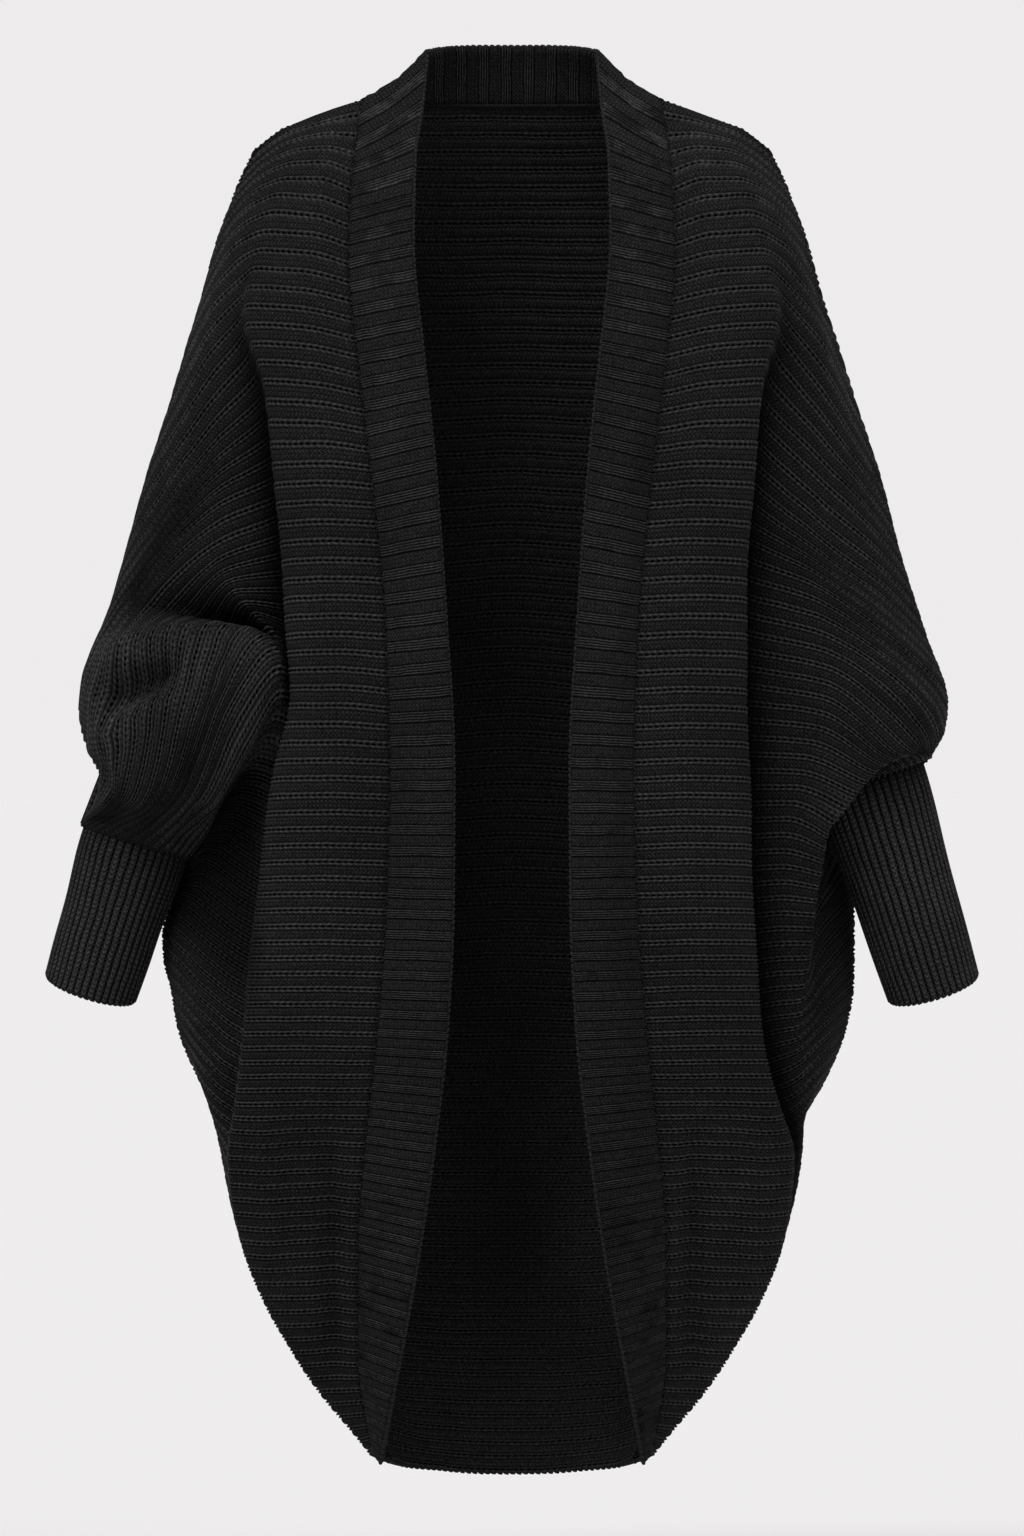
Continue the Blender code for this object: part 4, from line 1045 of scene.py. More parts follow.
def mark_facing(mesh: bpy.types.Mesh, facing: np.ndarray) -> None:
    """Gives each point of a mesh the way that the cloth faces there."""
    mesh.attributes.new("facing", "FLOAT_VECTOR", "POINT").data.foreach_set(
        "vector", facing.astype(np.float32).ravel())


SHADE_PER_MM = 0.06    # painted shade: how much darker the yarn is painted for each mm that a crease is deep
RIDGE_LIGHT = 0.3      # the most painted light that a ridge gets
HOLLOW_SHADE = 0.6     # the most painted shade that a hollow gets
SEAM_FADE_RIBS = 0.5   # ribs over which a panel's first row is eased onto its seam
LEAST_CHORD = 0.05     # shortest step counted along a rib
ARM_FROM = 0.1         # how far short of the neck point the shoulder seam is taken to start


def rows_between(wanted: np.ndarray, steps: tuple, table: np.ndarray) -> np.ndarray:
    """A table's rows read at the wanted steps, straight between them."""
    return np.stack([np.interp(wanted, steps, line) for line in np.asarray(table).T], axis=1)


def on_shoulder(points: np.ndarray) -> tuple[np.ndarray, np.ndarray]:
    """Moves points up or down onto the shoulder seam.

    Returns:
        The moved points and the ways their wall goes in.
    """
    seam, moved = np.array(SHOULDER_SEAM), points.copy()
    inward = np.concatenate([np.array(SHOULDER_INWARD), LEFT.overarm_inward(seam[-1:, 2])])
    moved[:, 1:] = rows_between(points[:, 0], seam[:, 0], seam[:, 1:])
    return moved, unit(rows_between(points[:, 0], seam[:, 0], inward))


def laid_on(smooth: np.ndarray, marks: np.ndarray, first_row: np.ndarray) -> np.ndarray:
    """A panel's form with its first row eased onto the row given."""
    fade = np.clip(1 - marks / SEAM_FADE_RIBS, 0, 1)[:, None, None]
    return smooth + fade * (first_row - smooth[0])


def neck_inward(points: np.ndarray) -> np.ndarray:
    """The ways the wall goes in along the seam between back and neck band."""
    ways = np.array([[0.0, NECK_AXIS_Y, 0.0]]) - points
    ways[:, 2] = -NECK_LEAN * np.linalg.norm(ways[:, :2], axis=1)
    return unit(ways)


def band_top_inward(columns: int) -> np.ndarray:
    """The ways the band's wall goes in across its width at the shoulder line."""
    top, neck_point = np.array(BAND_TOP_INWARD), np.array(SHOULDER_INWARD[0])
    middle = BAND_TOP_SHARE * top + (1 - BAND_TOP_SHARE) * neck_point
    return unit(rows_between(np.linspace(0, 1, columns), (0, 0.5, 1),
                             unit(np.array([top, middle, neck_point]))))


class Border(Enum):
    """A border of a grid: the axis it ends, and which end it is."""

    FIRST_ROW = (0, 0)
    LAST_ROW = (0, -1)
    FIRST_COLUMN = (1, 0)
    LAST_COLUMN = (1, -1)

    def line(self, values: np.ndarray) -> np.ndarray:
        """The border's own line of a grid of values."""
        axis, end = self.value
        return np.take(values, end, axis=axis)


@dataclass
class ClothGrid:
    """A piece's smooth form: points along each rib and the ways the cloth faces.

    Borders shared with a neighbour take its facing, eased in over border_mm.
    """

    points: np.ndarray
    ribs: np.ndarray
    borders: dict = field(default_factory=dict)
    border_mm: float = 14.0

    def facing(self) -> np.ndarray:
        """Unit vectors out of the cloth, blended to the shared borders' own."""
        facing = grid_normals(self.points)
        for border, inward in self.borders.items():
            axis = border.value[0]
            line = np.expand_dims(border.line(self.points), axis)
            gap = np.linalg.norm(self.points - line, axis=2)
            share = np.clip(1 - gap / self.border_mm, 0, 1)[..., None]
            facing = unit(share * -np.expand_dims(inward, axis) + (1 - share) * facing)
        return facing

    def along(self) -> np.ndarray:
        """Length along each rib, in mm, from the first column."""
        steps = np.linalg.norm(np.diff(self.points, axis=1), axis=2)
        return np.concatenate([np.zeros((len(steps), 1)), np.cumsum(steps, axis=1)], axis=1)

    def pulled_in(self) -> np.ndarray:
        """The points with their borders drawn in by half a seam gap."""
        p, moved, half = self.points, self.points.copy(), SEAM_GAP / 2
        moved[0] += half * unit(p[1] - p[0])
        moved[-1] += half * unit(p[-2] - p[-1])
        moved[:, 0] += half * unit(p[:, 1] - p[:, 0])
        moved[:, -1] += half * unit(p[:, -2] - p[:, -1])
        return moved

    def side(self, creases: tuple, depth: float) -> WallSide:
        """One face of the wall, sunk by depth and lifted by the creases, with painted shade in
        its hollows and painted light on its ridges.
        """
        facing, along, base = self.facing(), self.along(), self.pulled_in()
        lift = cloth_sway(base) + sum(crease.lift(base) for crease in creases)
        left_over = along[:, -1:] - along
        lift = lift * np.clip(np.minimum(along, left_over) / self.border_mm, 0, 1)
        points = base + facing * (lift - depth)[..., None]
        # Painted shade in the hollows of creases, painted light on their ridges
        shade = np.clip(-lift * SHADE_PER_MM, -RIDGE_LIGHT, HOLLOW_SHADE)
        return WallSide(points, -facing if depth else facing, self.ribs, along, shade=shade)


def places_between(stations: tuple, columns: int) -> np.ndarray:
    """So many places from the first station to the last, closer where stations are."""
    return np.interp(np.linspace(0, len(stations) - 1, columns), range(len(stations)), stations)


def along_ribs(stations: np.ndarray, places: np.ndarray) -> np.ndarray:
    """Points along each rib at the wanted places; a place counts stations."""
    rows = []
    for points in stations:
        chords = np.linalg.norm(np.diff(points, axis=0), axis=1)
        lengths = np.concatenate(([0.0], np.cumsum(np.maximum(chords, LEAST_CHORD))))
        rows.append(smooth_through(lengths, points,
                                   np.interp(places, range(len(points)), lengths)))
    return np.array(rows)


def across(lines: list, columns: int) -> np.ndarray:
    """Points from the first line to the last, on a smooth arc through those between."""
    return along_ribs(np.stack(lines, axis=1), np.linspace(0, len(lines) - 1, columns))


@dataclass
class KnitPiece:
    """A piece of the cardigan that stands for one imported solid.

    flat_m is the width and length that it was cut to, and area_m2 its flat area.
    """

    name: str
    slot: str
    flat_m: tuple
    area_m2: float
    rests_on: tuple
    outside: RibSection
    lining: RibSection
    finish: KnitFinish
    lining_finish: KnitFinish
    mirrored: bool = False
    creases: tuple = ()
    rib_count: int = BODY_RIBS
    columns: int = 64
    lining_columns: int = 30
    face: WallSide = None

    @property
    def dressed(self) -> str:
        """Name of the detailed piece that stands for the node."""
        return f"{self.name}_knit"

    def grid(self, marks: np.ndarray, columns: int) -> ClothGrid:
        """The smooth form at the rib marks, with so many points along each rib."""
        raise NotImplementedError

    def grids(self) -> tuple[ClothGrid, ClothGrid]:
        """The smooth form as its two faces need it, outer face first."""
        return (self.grid(self.outside.marks(self.rib_count), self.columns),
                self.grid(self.lining.marks(self.rib_count), self.lining_columns))

    def wall(self) -> bpy.types.Object:
        """The plain wall before its ribs."""
        outer, inner = self.grids()
        self.face, lining = outer.side(self.creases, 0.0), inner.side(self.creases, LINING_DEPTH)
        for face in (self.face, lining):
            self.finish_face(face)
        return wall_object(self.dressed, self.face, lining, self.mirrored)

    def finish_face(self, face: WallSide) -> None:
        """Marks what only some pieces have, such as gathers."""

    def build(self, relief: GeometryTree) -> None:
        """Makes the piece, raises its ribs, hangs it on the body, hides the imported solid and
        logs it.
        """
        piece = self.wall()
        relief.made_solid(piece, {
            "Rise": self.outside.rise_mm * MM,
            "Lining Rise": self.lining.rise_mm * MM,
            "Outside": self.finish.material(),
            "Lining": self.lining_finish.material(),
        })
        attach(piece, BODY)
        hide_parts(self.name)
        report(piece)

    def declare(self, seams: tuple) -> None:
        """Looks up the dressed piece by name; its cut size and seams are not passed on."""
        bpy.data.objects[self.dressed]


def report(piece: bpy.types.Object) -> None:
    """Logs a finished piece and its triangles."""
    piece.data.calc_loop_triangles()
    log.info("%s: %d triangles", piece.name, len(piece.data.loop_triangles))


RING_FADE = 18.0     # how far from the forearm's ring the ribs' height begins to change
CLOSE_RIBS = 7.5     # repeats closer than this, in mm, show no further rows
SHADE_BLUR = 16.0    # in mm, of the sides of a deep fold's painted shade
SHADE_ENDS = (2, 7)  # ribs over which a deep fold's painted shade comes and goes
ROLL_SHADOW_START = 8     # the rib where the painted shadow beside the roll begins
ROLL_SHADOW_ENDS = (10, 6)     # ribs over which it comes and goes
TOP_SHADE_MM = 13.0  # how far down a forearm the painted shade under the wing reaches
ELBOW_WAVES = 9.0    # radians of the slack waves down a forearm
SWELLS = (0.5, 3)    # a forearm's unroundness in mm, and how often it comes round
# Stations across a front, counted from the band seam; its points are shared out evenly
# between each two of these
LEFT_PLACES = (0, 1, 2, 2.5, 3, 3.5, 4, 4.5, 5, 6, 7)
RIGHT_PLACES = (0, 1, 2, 2.5, 3, 4, 5, 6, 7, 8, 9)


@dataclass
class FrontPanel(KnitPiece):
    """One front with its half of the batwing sleeve."""

    side_seams: ArmSide = None
    guides: dict = field(default_factory=dict)
    places: tuple = LEFT_PLACES
    gathers: tuple = ()
    shades: tuple = ()
    roll_shadow: tuple = (3.0, 16.0, 0.92)    # place, reach in mm and darkening of the painted shadow beside the roll
    roll_shadow_end: float = BODY_RIBS        # the rib where that painted shadow has faded out
    ring_rise: float = 0.6               # what the ribs' height comes to at the ring

    def finish_face(self, face: WallSide) -> None:
        """Paints shade into deep folds and beside the roll, marks gathers, and turns the ribs'
        height at the forearm's ring.
        """
        x, z, ribs = face.points[..., 0], face.points[..., 2], face.ribs[:, None]
        for first, last, left, right, depth in self.shades:
            inside = (eased((ribs - first) / SHADE_ENDS[0]) * eased((last - ribs) / SHADE_ENDS[1])
                      * eased((x - left) / SHADE_BLUR) * eased((right - x) / SHADE_BLUR))
            face.shade = np.maximum(face.shade, depth * inside)
        # Painted shadow beside the roll's edge, fading over reach mm past its foot
        foot, reach, depth = self.roll_shadow
        places = places_between(self.places, face.shape[1])
        past = face.along - face.along[:, np.searchsorted(places, foot), None]
        near = np.where(past > 0, np.exp(-(past / reach) ** 2), eased(places - foot + 1))
        comes, goes = ROLL_SHADOW_ENDS
        near = (near * eased((ribs - ROLL_SHADOW_START) / comes)
                * eased((self.roll_shadow_end - ribs) / goes))
        face.shade = np.maximum(face.shade, depth * near)
        face.gather = np.zeros(face.shape)
        for low, high, left, right, blur in self.gathers:
            inside = (eased((z - low) / blur + 0.5) * eased((high - z) / blur + 0.5)
                      * eased((x - left) / blur + 0.5) * eased((right - x) / blur + 0.5))
            face.gather = np.maximum(face.gather, inside)
        spacing = (np.linalg.norm(np.gradient(face.points, axis=0), axis=2)
                   / np.gradient(face.ribs)[:, None])
        face.gather = face.gather * eased((spacing - CLOSE_RIBS) / CLOSE_RIBS)
        first, last = self.side_seams.cuff_ribs
        on_ring = eased((ribs - first) + 0.5) * eased((last - ribs) + 0.5)
        sink = on_ring * eased(1 - (face.along[:, -1:] - face.along) / RING_FADE)
        face.facing = face.facing * (1 - (1 - self.ring_rise) * sink)[..., None]

    def stations(self, ribs: np.ndarray) -> tuple[np.ndarray, np.ndarray]:
        """Guide points from the band seam to the outer seam, and that seam's ways in."""
        seam = along_guide(BAND_SEAM, ribs)
        lines = [along_guide(rows, ribs) for rows in self.guides.values()]
        roll = 0.5 * (seam + lines[0])
        roll[:, 1] -= np.interp(ribs, *ROLL_BULGE)
        roll[:, 2] += np.interp(ribs, *ROLL_LIFT)
        outer, inward = self.side_seams.seam(ribs, math.pi)
        return np.stack([seam, roll, *lines, outer], axis=1), inward

    def grid(self, marks: np.ndarray, columns: int) -> ClothGrid:
        """The front's smooth form, its first row laid on the shoulder seam."""
        stations, outer_inward = self.stations(marks)
        smooth = along_ribs(stations, places_between(self.places, columns))
        shoulder, shoulder_inward = on_shoulder(smooth[0])
        smooth = laid_on(smooth, marks, shoulder)
        return ClothGrid(smooth, marks, {
            Border.FIRST_COLUMN: -grid_normals(smooth)[:, 0],
            Border.LAST_COLUMN: outer_inward, Border.FIRST_ROW: shoulder_inward,
        })


@dataclass
class BackPanel(KnitPiece):
    """The back with the back halves of both batwing sleeves."""

    def grid(self, marks: np.ndarray, columns: int) -> ClothGrid:
        """The back's smooth form, from its left seam to its right seam."""
        left, left_inward = LEFT.seam(marks, -math.pi)
        right, right_inward = RIGHT.seam(marks, -math.pi)
        half = [along_guide(rows, marks) for rows in
                (BACK_SPINE, BACK_BLADE, BACK_NECK_POINT, BACK_WING)]
        stations = [line * MIRROR for line in (right, *reversed(half))]
        smooth = across(stations + [along_guide(BACK_MIDDLE, marks), *half, left],
                        columns)[:, ::-1]
        top = smooth[0] * np.where(smooth[0, :, :1] < 0, MIRROR, 1.0)
        top_inward = neck_inward(top)
        on_arm = top[:, 0] > NECK_SEAM[-1][1] - ARM_FROM
        shoulder, top_inward[on_arm] = on_shoulder(top[on_arm])
        moved = smooth[0].copy()
        moved[on_arm, 1:] = shoulder[:, 1:]
        top_inward[:, 0] *= np.sign(smooth[0, :, 0])
        return ClothGrid(laid_on(smooth, marks, moved), marks, {
            Border.FIRST_COLUMN: left_inward, Border.LAST_COLUMN: right_inward * MIRROR,
            Border.FIRST_ROW: unit(top_inward),
        })


@dataclass
class FrontBand(KnitPiece):
    """The ribbed band along one front edge, its ribs lying across it."""

    front: FrontPanel = None

    def grid(self, marks: np.ndarray, columns: int) -> ClothGrid:
        """The band's smooth form, from its free edge to its seam."""
        ribs = marks * BODY_RIBS / FRONT_BAND_RIBS
        seam, free = along_guide(BAND_SEAM, ribs), along_guide(FREE_EDGE, ribs)
        middle = 0.5 * (seam + free)
        middle[:, 1] -= np.interp(ribs, *BAND_BULGE)
        middle[:, 0] -= np.interp(ribs, *BAND_HOLLOW)
        stations, _ = self.front.stations(ribs)
        body = along_ribs(stations, places_between(self.front.places, self.front.columns))
        return ClothGrid(across([free, middle, seam], columns), marks, {
            Border.LAST_COLUMN: -grid_normals(body)[:, 0],
            Border.FIRST_ROW: band_top_inward(columns),
        })


@dataclass
class NeckBand(KnitPiece):
    """The ribbed band that stands round the back of the neck."""

    def grid(self, marks: np.ndarray, columns: int) -> ClothGrid:
        """The band's smooth form, from its top edge to its seam."""
        shares = 2 * marks / NECK_BAND_RIBS - 1
        away, mirror = np.abs(shares), np.ones((len(shares), 3))
        mirror[:, 0] = np.sign(shares)
        corners = np.array(NECK_SEAM)
        ways = neck_inward(corners[:, 1:])
        ways[-1] = unit(np.array(SHOULDER_INWARD[0]))
        seam, seam_inward = (rows_between(away, corners[:, 0], table) * mirror
                             for table in (corners[:, 1:], ways))
        top = along_guide(NECK_TOP, away) * mirror
        middle = 0.5 * (seam + top)
        middle[:, 1] += np.interp(away, *NECK_BULGE)
        middle[:, 0] -= np.sign(shares) * np.interp(away, *NECK_HOLLOW)
        near = band_top_inward(columns)
        return ClothGrid(across([top, middle, seam], columns), marks, {
            Border.LAST_COLUMN: unit(seam_inward), Border.FIRST_ROW: near * MIRROR,
            Border.LAST_ROW: near,
        })

    def finish_face(self, face: WallSide) -> None:
        """Lets the ribs stand upright, evenly spaced as seen from the front."""
        face.ribs = face.points[..., 0] / NECK_REPEAT + NECK_BAND_RIBS


@dataclass
class ForearmSleeve(KnitPiece):
    """The long forearm tube, ribbed lengthwise and open at both ends."""

    tube: ForearmTube = None
    elbow_wave_mm: float = 0.8
    top_shade: float = 0.3       # how dark the painted shade on the tube's top is, under the wing's edge

    def grid(self, marks: np.ndarray, columns: int) -> ClothGrid:
        """The tube's smooth form: rows round it and columns down it."""
        turns, tube = marks * 2 * math.pi / SLEEVE_RIBS, self.tube
        shares = np.linspace(0, 1, columns)
        start = tube.start + tube.axis * TUBE_GAP
        centres = start + (tube.end - start) * shares[:, None]
        radii = tube.start_radius + (tube.end_radius - tube.start_radius) * shares - TUBE_INSET
        slack = self.elbow_wave_mm * np.sin(ELBOW_WAVES * shares) * (1 - shares)
        unround = SWELLS[0] * np.sin(SWELLS[1] * turns)[:, None]
        swell = radii + slack + unround * (1 - shares)
        drop = CUFF_DROP * np.sin(turns)[:, None] * shares
        return ClothGrid(centres[None] + tube.radial(turns)[:, None] * swell[..., None]
                         + drop[..., None] * tube.axis, marks)

    def wall(self) -> bpy.types.Object:
        """The tube's wall, its first row joined to its last."""
        sides = []
        for grid, depth in zip(self.grids(), (0.0, TUBE_WALL)):
            spokes = self.tube.radial(grid.ribs * 2 * math.pi / SLEEVE_RIBS)
            spokes = np.repeat(spokes[:, None], grid.points.shape[1], axis=1)
            along = grid.along()
            # The tube's top gets painted shade under the wing's edge
            sides.append(WallSide(grid.points - spokes * depth, -spokes if depth else spokes,
                                  grid.ribs, along,
                                  shade=self.top_shade * np.exp(-along / TOP_SHADE_MM)))
        self.face = sides[0]
        return wall_object(self.dressed, *sides, self.mirrored, round_it=True)


@dataclass
class SeamLine:
    """Stitches or a cast-off edge laid along a border of a piece."""

    name: str
    piece: KnitPiece
    border: Border
    pitch_mm: float
    length_mm: float
    width_mm: float
    tilt: float
    lift_mm: float

    def build(self, row: StitchRow, yarn: bpy.types.Material) -> None:
        """Lays the loops along the border, lifted out of the cloth, and rides them."""
        face = self.piece.face
        points, facing = self.border.line(face.points), self.border.line(face.facing)
        points = (points + facing * self.lift_mm) * MM
        if self.piece.mirrored:
            points, facing = points * MIRROR, facing * MIRROR
        mesh = bpy.data.meshes.new(self.name)
        mesh.from_pydata(points.tolist(), [(i, i + 1) for i in range(len(points) - 1)], [])
        mark_facing(mesh, facing)
        piece = shown(self.name, mesh)
        row.made_solid(piece, {
            "Pitch": self.pitch_mm * MM, "Loop Length": self.length_mm * MM,
            "Loop Width": self.width_mm * MM,
            "Tilt": -self.tilt if self.piece.mirrored else self.tilt, "Yarn": yarn,
        })
        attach(piece, BODY)
        report(piece)


def creases(*rows: tuple) -> tuple[Crease, ...]:
    """Creases from rows of (x0, z0, x1, z1, width, depth)."""
    return tuple(Crease(*row) for row in rows)


LEFT_CREASES = creases(
    (128, -700, 124, -900, 9, -4.0), (176, -690, 168, -830, 13, 3.0),
    (236, -404, 296, -440, 7, -3.0), (228, -430, 276, -452, 6, 2.5),
    (214, -470, 232, -556, 7, -2.5), (150, -60, 196, -120, 12, 2.5),
    (172, -70, 214, -160, 9, -2.0), (222, -250, 262, -360, 12, 2.2),
    (130, -330, 134, -560, 12, -1.8),
)
RIGHT_CREASES = creases(
    (257, -349, 219, -355, 5, -3.0), (219, -355, 183, -364, 5, -3.0),
    (288, -384, 219, -367, 8, 3.5), (219, -367, 160, -384, 8, 3.0),
    (292, -418, 228, -394, 13, -11.0), (292, -447, 224, -404, 9, 7.0),
    (224, -404, 180, -386, 8, 3.0), (292, -452, 268, -500, 6, -3.5),
    (228, -440, 222, -478, 7, -4.0), (250, -462, 262, -516, 9, 3.5),
    (214, -486, 236, -520, 7, -3.5), (128, -700, 124, -900, 9, -4.0),
    (172, -690, 166, -830, 13, 3.0), (150, -60, 196, -120, 12, 2.5),
    (226, -230, 240, -330, 10, 2.0), (128, -300, 126, -470, 12, -1.8),
)
BACK_CREASES = creases(
    (-232, -340, -120, -470, 26, -5.0), (236, -350, 124, -480, 26, -5.0),
    (-216, -430, -130, -600, 24, 4.0), (214, -430, 126, -610, 24, 4.0),
    (-60, -560, -50, -860, 26, 3.5), (64, -580, 52, -880, 26, 3.5),
    (2, -600, 4, -900, 22, -3.0), (-150, -120, -210, -300, 22, 3.0),
    (150, -120, 212, -300, 22, 3.0),
)

# Where the cloth is gathered, seen from the front: (low z, high z, inner x, outer x, blur)
RIGHT_GATHERS = ((-640, -372, 170, 330, 26),)
LEFT_GATHERS = ((-540, -446, 214, 330, 24),)
# Painted shade in folds too deep for much light: (first rib, last rib, inner x, outer x,
# darkening)
RIGHT_SHADES = ((35.5, 54, 166, 262, 0.62),)
LEFT_SHADES = ((44, 58, 196, 262, 0.4),)

FLOOR_Z = -1.03
FLOOR_REACH = 400.0
CAMERA_HEIGHT = -0.464      # level with the middle of the picture
CAMERA_AWAY = 16.0
PICTURE_HEIGHT = 1.0752     # what the picture's height takes in at the garment
SENSOR_MM = 36.0
BACKGROUND = (0.850, 0.834, 0.842, 1.0)
WHITE = (1.0, 1.0, 1.0, 1.0)


@dataclass(frozen=True)
class PaperFinish:
    """Plain pale studio paper."""

    name: str = "studio_paper"
    colour: tuple = (0.757, 0.743, 0.750)
    tooth: tuple = (90.0, 0.005)     # features in a metre, and how far the tone strays

    def material(self) -> bpy.types.Material:
        """Builds the finish with a faint tooth."""
        made, w = new_material(self.name)
        tooth, _ = w.mottle(*self.tooth)
        shader = w.out("ShaderNodeBsdfDiffuse", {"Color": w.scaled(self.colour, tooth)})
        w.node("ShaderNodeOutputMaterial", {"Surface": shader})
        return made


@dataclass(frozen=True)
class Sun:
    """A soft studio light, even over the whole floor."""

    name: str
    strength: float
    softness: float      # angle that the light takes up, in radians
    way: tuple           # from the garment to the light

    def build(self) -> None:
        """Adds the light."""
        light = bpy.data.lights.new(self.name, "SUN")
        light.energy, light.angle = self.strength, self.softness
        turn = Vector(self.way).to_track_quat("Z", "Y")
        shown(self.name, light).rotation_euler = turn.to_euler()


SUNS = (
    Sun("key", 2.1, 0.7, (-0.45, -0.7, 1.25)),
    Sun("fill", 0.45, 1.0, (0.9, -0.8, 0.55)),
    Sun("back", 1.0, 0.9, (0.5, 0.8, 0.9)),
)


@dataclass
class Studio:
    """Floor, lights and camera."""

    world_light: float = 0.3

    def floor(self) -> None:
        """A very wide pale floor."""
        corners = ((-1, -1), (1, -1), (1, 1), (-1, 1))
        mesh = bpy.data.meshes.new("studio_floor")
        mesh.from_pydata([(x * FLOOR_REACH, y * FLOOR_REACH, FLOOR_Z) for x, y in corners],
                         [], [(0, 1, 2, 3)])
        mesh.materials.append(PaperFinish().material())
        paper = shown("studio_floor", mesh)

    def world(self) -> None:
        """Soft light from all round, behind a plain pale background."""
        world = bpy.data.worlds.new("studio")
        world.use_nodes = True
        w = Wiring(world.node_tree)
        soft, seen = (w.out("ShaderNodeBackground", {"Color": colour, "Strength": strength})
                      for colour, strength in ((WHITE, self.world_light), (BACKGROUND, 1.0)))
        camera_ray = w.node("ShaderNodeLightPath").outputs["Is Camera Ray"]
        mixed = w.out("ShaderNodeMixShader", {0: camera_ray, 1: soft, 2: seen})
        w.node("ShaderNodeOutputWorld", {"Surface": mixed})
        bpy.context.scene.world = world

    def camera(self) -> None:
        """A long lens level with the middle of the garment, as in the photograph."""
        lens = bpy.data.cameras.new("camera")
        lens.sensor_fit, lens.sensor_width = "AUTO", SENSOR_MM
        lens.lens = SENSOR_MM * CAMERA_AWAY / PICTURE_HEIGHT
        lens.clip_end = 2 * FLOOR_REACH
        made = shown("camera", lens)
        made.location = (0.0, -CAMERA_AWAY, CAMERA_HEIGHT)
        made.rotation_euler = (math.pi / 2, 0.0, 0.0)
        bpy.context.scene.camera = made

    def build(self) -> None:
        """Sets up everything that isn't part of the garment."""
        self.floor()
        self.world()
        for sun in SUNS:
            sun.build()
        self.camera()
        bpy.context.scene.view_settings.view_transform = "Standard"


BODY_KNIT = KnitFinish("body_knit", 0.0195)
BODY_REVERSE = KnitFinish("body_reverse", 0.023, pattern=INSIDE_STITCH)
PLAIN_REVERSE = KnitFinish("plain_reverse", 0.017, pattern=PLAIN_STITCH)
SLEEVE_KNIT = KnitFinish("sleeve_knit", 0.0205, pattern=CUFF_STITCH)
BAND_KNIT = KnitFinish("band_knit", 0.023, pattern=BAND_STITCH)
YARN = YarnFinish("yarn", 0.020)
DARK_YARN = YarnFinish("seam_yarn", 0.012)

# How a side's front and forearm are made. The right has slid up into a pouch.
FRONTS = {
    "left": {"guides": LEFT_GUIDES, "places": LEFT_PLACES, "creases": LEFT_CREASES,
             "gathers": LEFT_GATHERS, "shades": LEFT_SHADES, "ring_rise": 2.3,
             "roll_shadow_end": 90},
    "right": {"guides": RIGHT_GUIDES, "places": RIGHT_PLACES, "creases": RIGHT_CREASES,
              "gathers": RIGHT_GATHERS, "shades": RIGHT_SHADES, "ring_rise": 0.6,
              "roll_shadow_end": 36},
}
SLEEVE_WIDTH = 0.24
SLEEVE_FILL = 0.95      # share of the sleeve's flat box that it fills
SLEEVES = {"left": (0.156, 0.85), "right": (0.11, 0.3)}    # length and painted shade at the top

CHAIN = {"pitch_mm": 4.4, "length_mm": 5.4, "width_mm": 3.2, "tilt": 0.35, "lift_mm": -1.2}
STITCH = {"pitch_mm": 4.6, "length_mm": 4.2, "width_mm": 2.0, "tilt": 0.9, "lift_mm": 0.7}
ROLL = {"pitch_mm": 3.0, "length_mm": 5.0, "width_mm": 3.4, "tilt": 0.0, "lift_mm": -4.6}
# Lines along the pieces of each side: (name, piece, border, loops)
SIDE_LINES = (
    ("band_edge", "front_band", Border.FIRST_COLUMN, CHAIN),
    ("band_seam", "front_band", Border.LAST_COLUMN, STITCH),
    ("band_hem", "front_band", Border.LAST_ROW, CHAIN),
    ("front_hem", "front", Border.LAST_ROW, CHAIN),
    ("shoulder_seam", "front", Border.FIRST_ROW, STITCH),
    ("outer_seam", "front", Border.LAST_COLUMN, STITCH),
    ("cuff_edge", "sleeve", Border.LAST_COLUMN, CHAIN),
    ("sleeve_seam", "sleeve", Border.FIRST_COLUMN, STITCH),
)
MIDDLE_LINES = (
    ("back_hem", "back", Border.LAST_ROW, CHAIN),
    ("neck_edge", "neck_band", Border.FIRST_COLUMN, CHAIN),
    ("neck_seam", "neck_band", Border.LAST_COLUMN, STITCH),
    ("neck_roll", "neck_band", Border.LAST_COLUMN, ROLL),
)


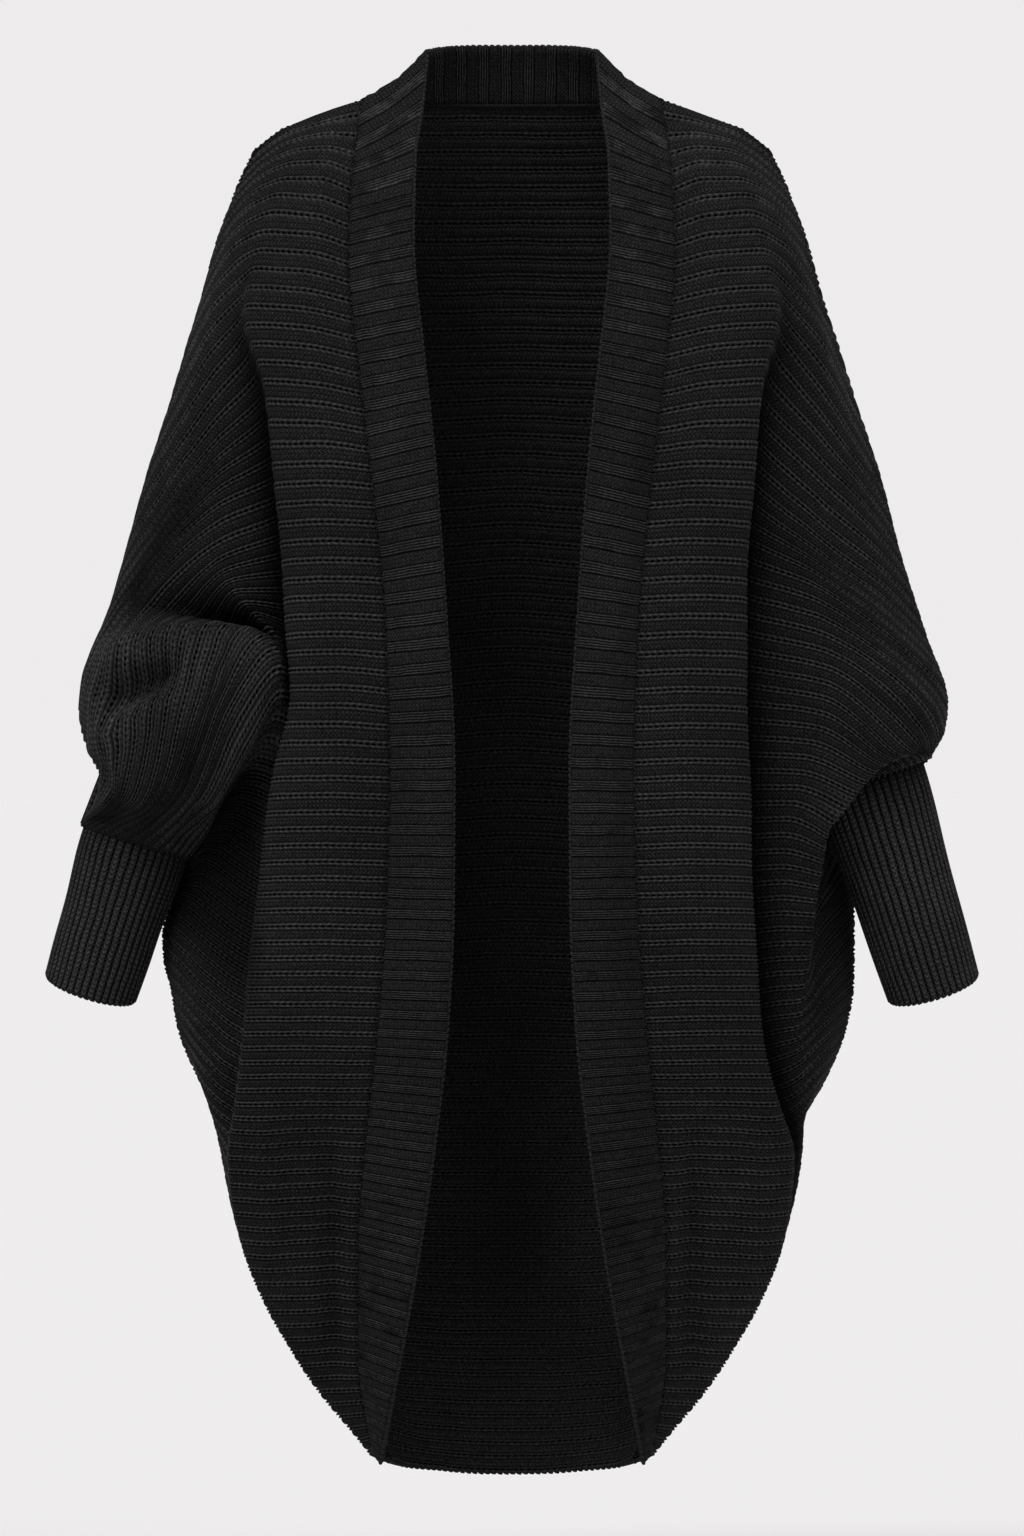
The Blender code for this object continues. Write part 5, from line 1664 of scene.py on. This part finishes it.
def make_pieces() -> dict[str, KnitPiece]:
    """Every piece of cloth, with its cut size and its creases."""
    sides, pieces = {"left": LEFT, "right": RIGHT}, []
    for end, side in sides.items():
        pieces.append(FrontPanel(
            f"front_{end}", "body_knit", flat_m=(0.62, 1.06), area_m2=0.30,
            rests_on=("back",), outside=BODY_SECTION, lining=PLAIN_LINING, finish=BODY_KNIT,
            lining_finish=PLAIN_REVERSE, mirrored=side is RIGHT, side_seams=side,
            **FRONTS[end]))
    fronts = pieces.copy()
    pieces.append(BackPanel(
        "back", "body_knit", flat_m=(0.86, 1.02), area_m2=0.56, rests_on=(),
        outside=BODY_SECTION, lining=BODY_LINING, finish=BODY_KNIT,
        lining_finish=BODY_REVERSE, creases=BACK_CREASES, columns=44, lining_columns=52))
    for end, side in sides.items():
        length, top_shade = SLEEVES[end]
        pieces.append(ForearmSleeve(
            f"sleeve_{end}", "sleeve_knit", flat_m=(SLEEVE_WIDTH, length),
            area_m2=SLEEVE_WIDTH * length * SLEEVE_FILL, rests_on=(f"front_{end}", "back"),
            outside=CUFF_SECTION, lining=PLAIN_LINING, finish=SLEEVE_KNIT,
            lining_finish=PLAIN_REVERSE, mirrored=side is RIGHT, rib_count=SLEEVE_RIBS,
            columns=60, lining_columns=12, tube=side.tube, top_shade=top_shade))
    for end, front in zip(sides, fronts):
        pieces.append(FrontBand(
            f"front_band_{end}", "band_knit", flat_m=(0.062, 1.07), area_m2=0.06,
            rests_on=(front.name,), outside=BAND_SECTION, lining=PLAIN_LINING,
            finish=BAND_KNIT, lining_finish=PLAIN_REVERSE, mirrored=front.mirrored,
            rib_count=FRONT_BAND_RIBS, columns=16, lining_columns=8, front=front))
    pieces.append(NeckBand(
        "neck_band", "band_knit", flat_m=(0.05, 0.26), area_m2=0.0115, rests_on=("back",),
        outside=BAND_SECTION, lining=BAND_SECTION, finish=BAND_KNIT, lining_finish=BAND_KNIT,
        rib_count=NECK_BAND_RIBS, columns=14, lining_columns=12))
    return {piece.name: piece for piece in pieces}


def make_seams(pieces: dict[str, KnitPiece]) -> list[SeamLine]:
    """Every cast-off edge and row of seam stitches, each on the border of its piece."""
    lines = [(f"{name}_{end}", f"{piece}_{end}", border, loops)
             for end in ("left", "right") for name, piece, border, loops in SIDE_LINES]
    return [SeamLine(name, pieces[piece], border, **loops)
            for name, piece, border, loops in (*lines, *MIDDLE_LINES)]


def main() -> None:
    """Builds the cardigan piece by piece, then its seams and the studio."""
    logging.basicConfig(level=logging.INFO, format="%(name)s: %(message)s")
    pieces = make_pieces()
    reliefs = {}
    for piece in pieces.values():
        pair = (piece.outside, piece.lining)
        if pair not in reliefs:
            reliefs[pair] = RibRelief(f"rib_relief_{len(reliefs)}", *pair)
        piece.build(reliefs[pair])
    row, yarn, dark = StitchRow(), YARN.material(), DARK_YARN.material()
    seams = make_seams(pieces)
    for seam in seams:
        seam.build(row, yarn if "edge" in seam.name or "hem" in seam.name else dark)
    for piece in pieces.values():
        piece.declare([seam.name for seam in seams if seam.piece is piece])
    Studio().build()


if __name__ == "__main__":
    main()
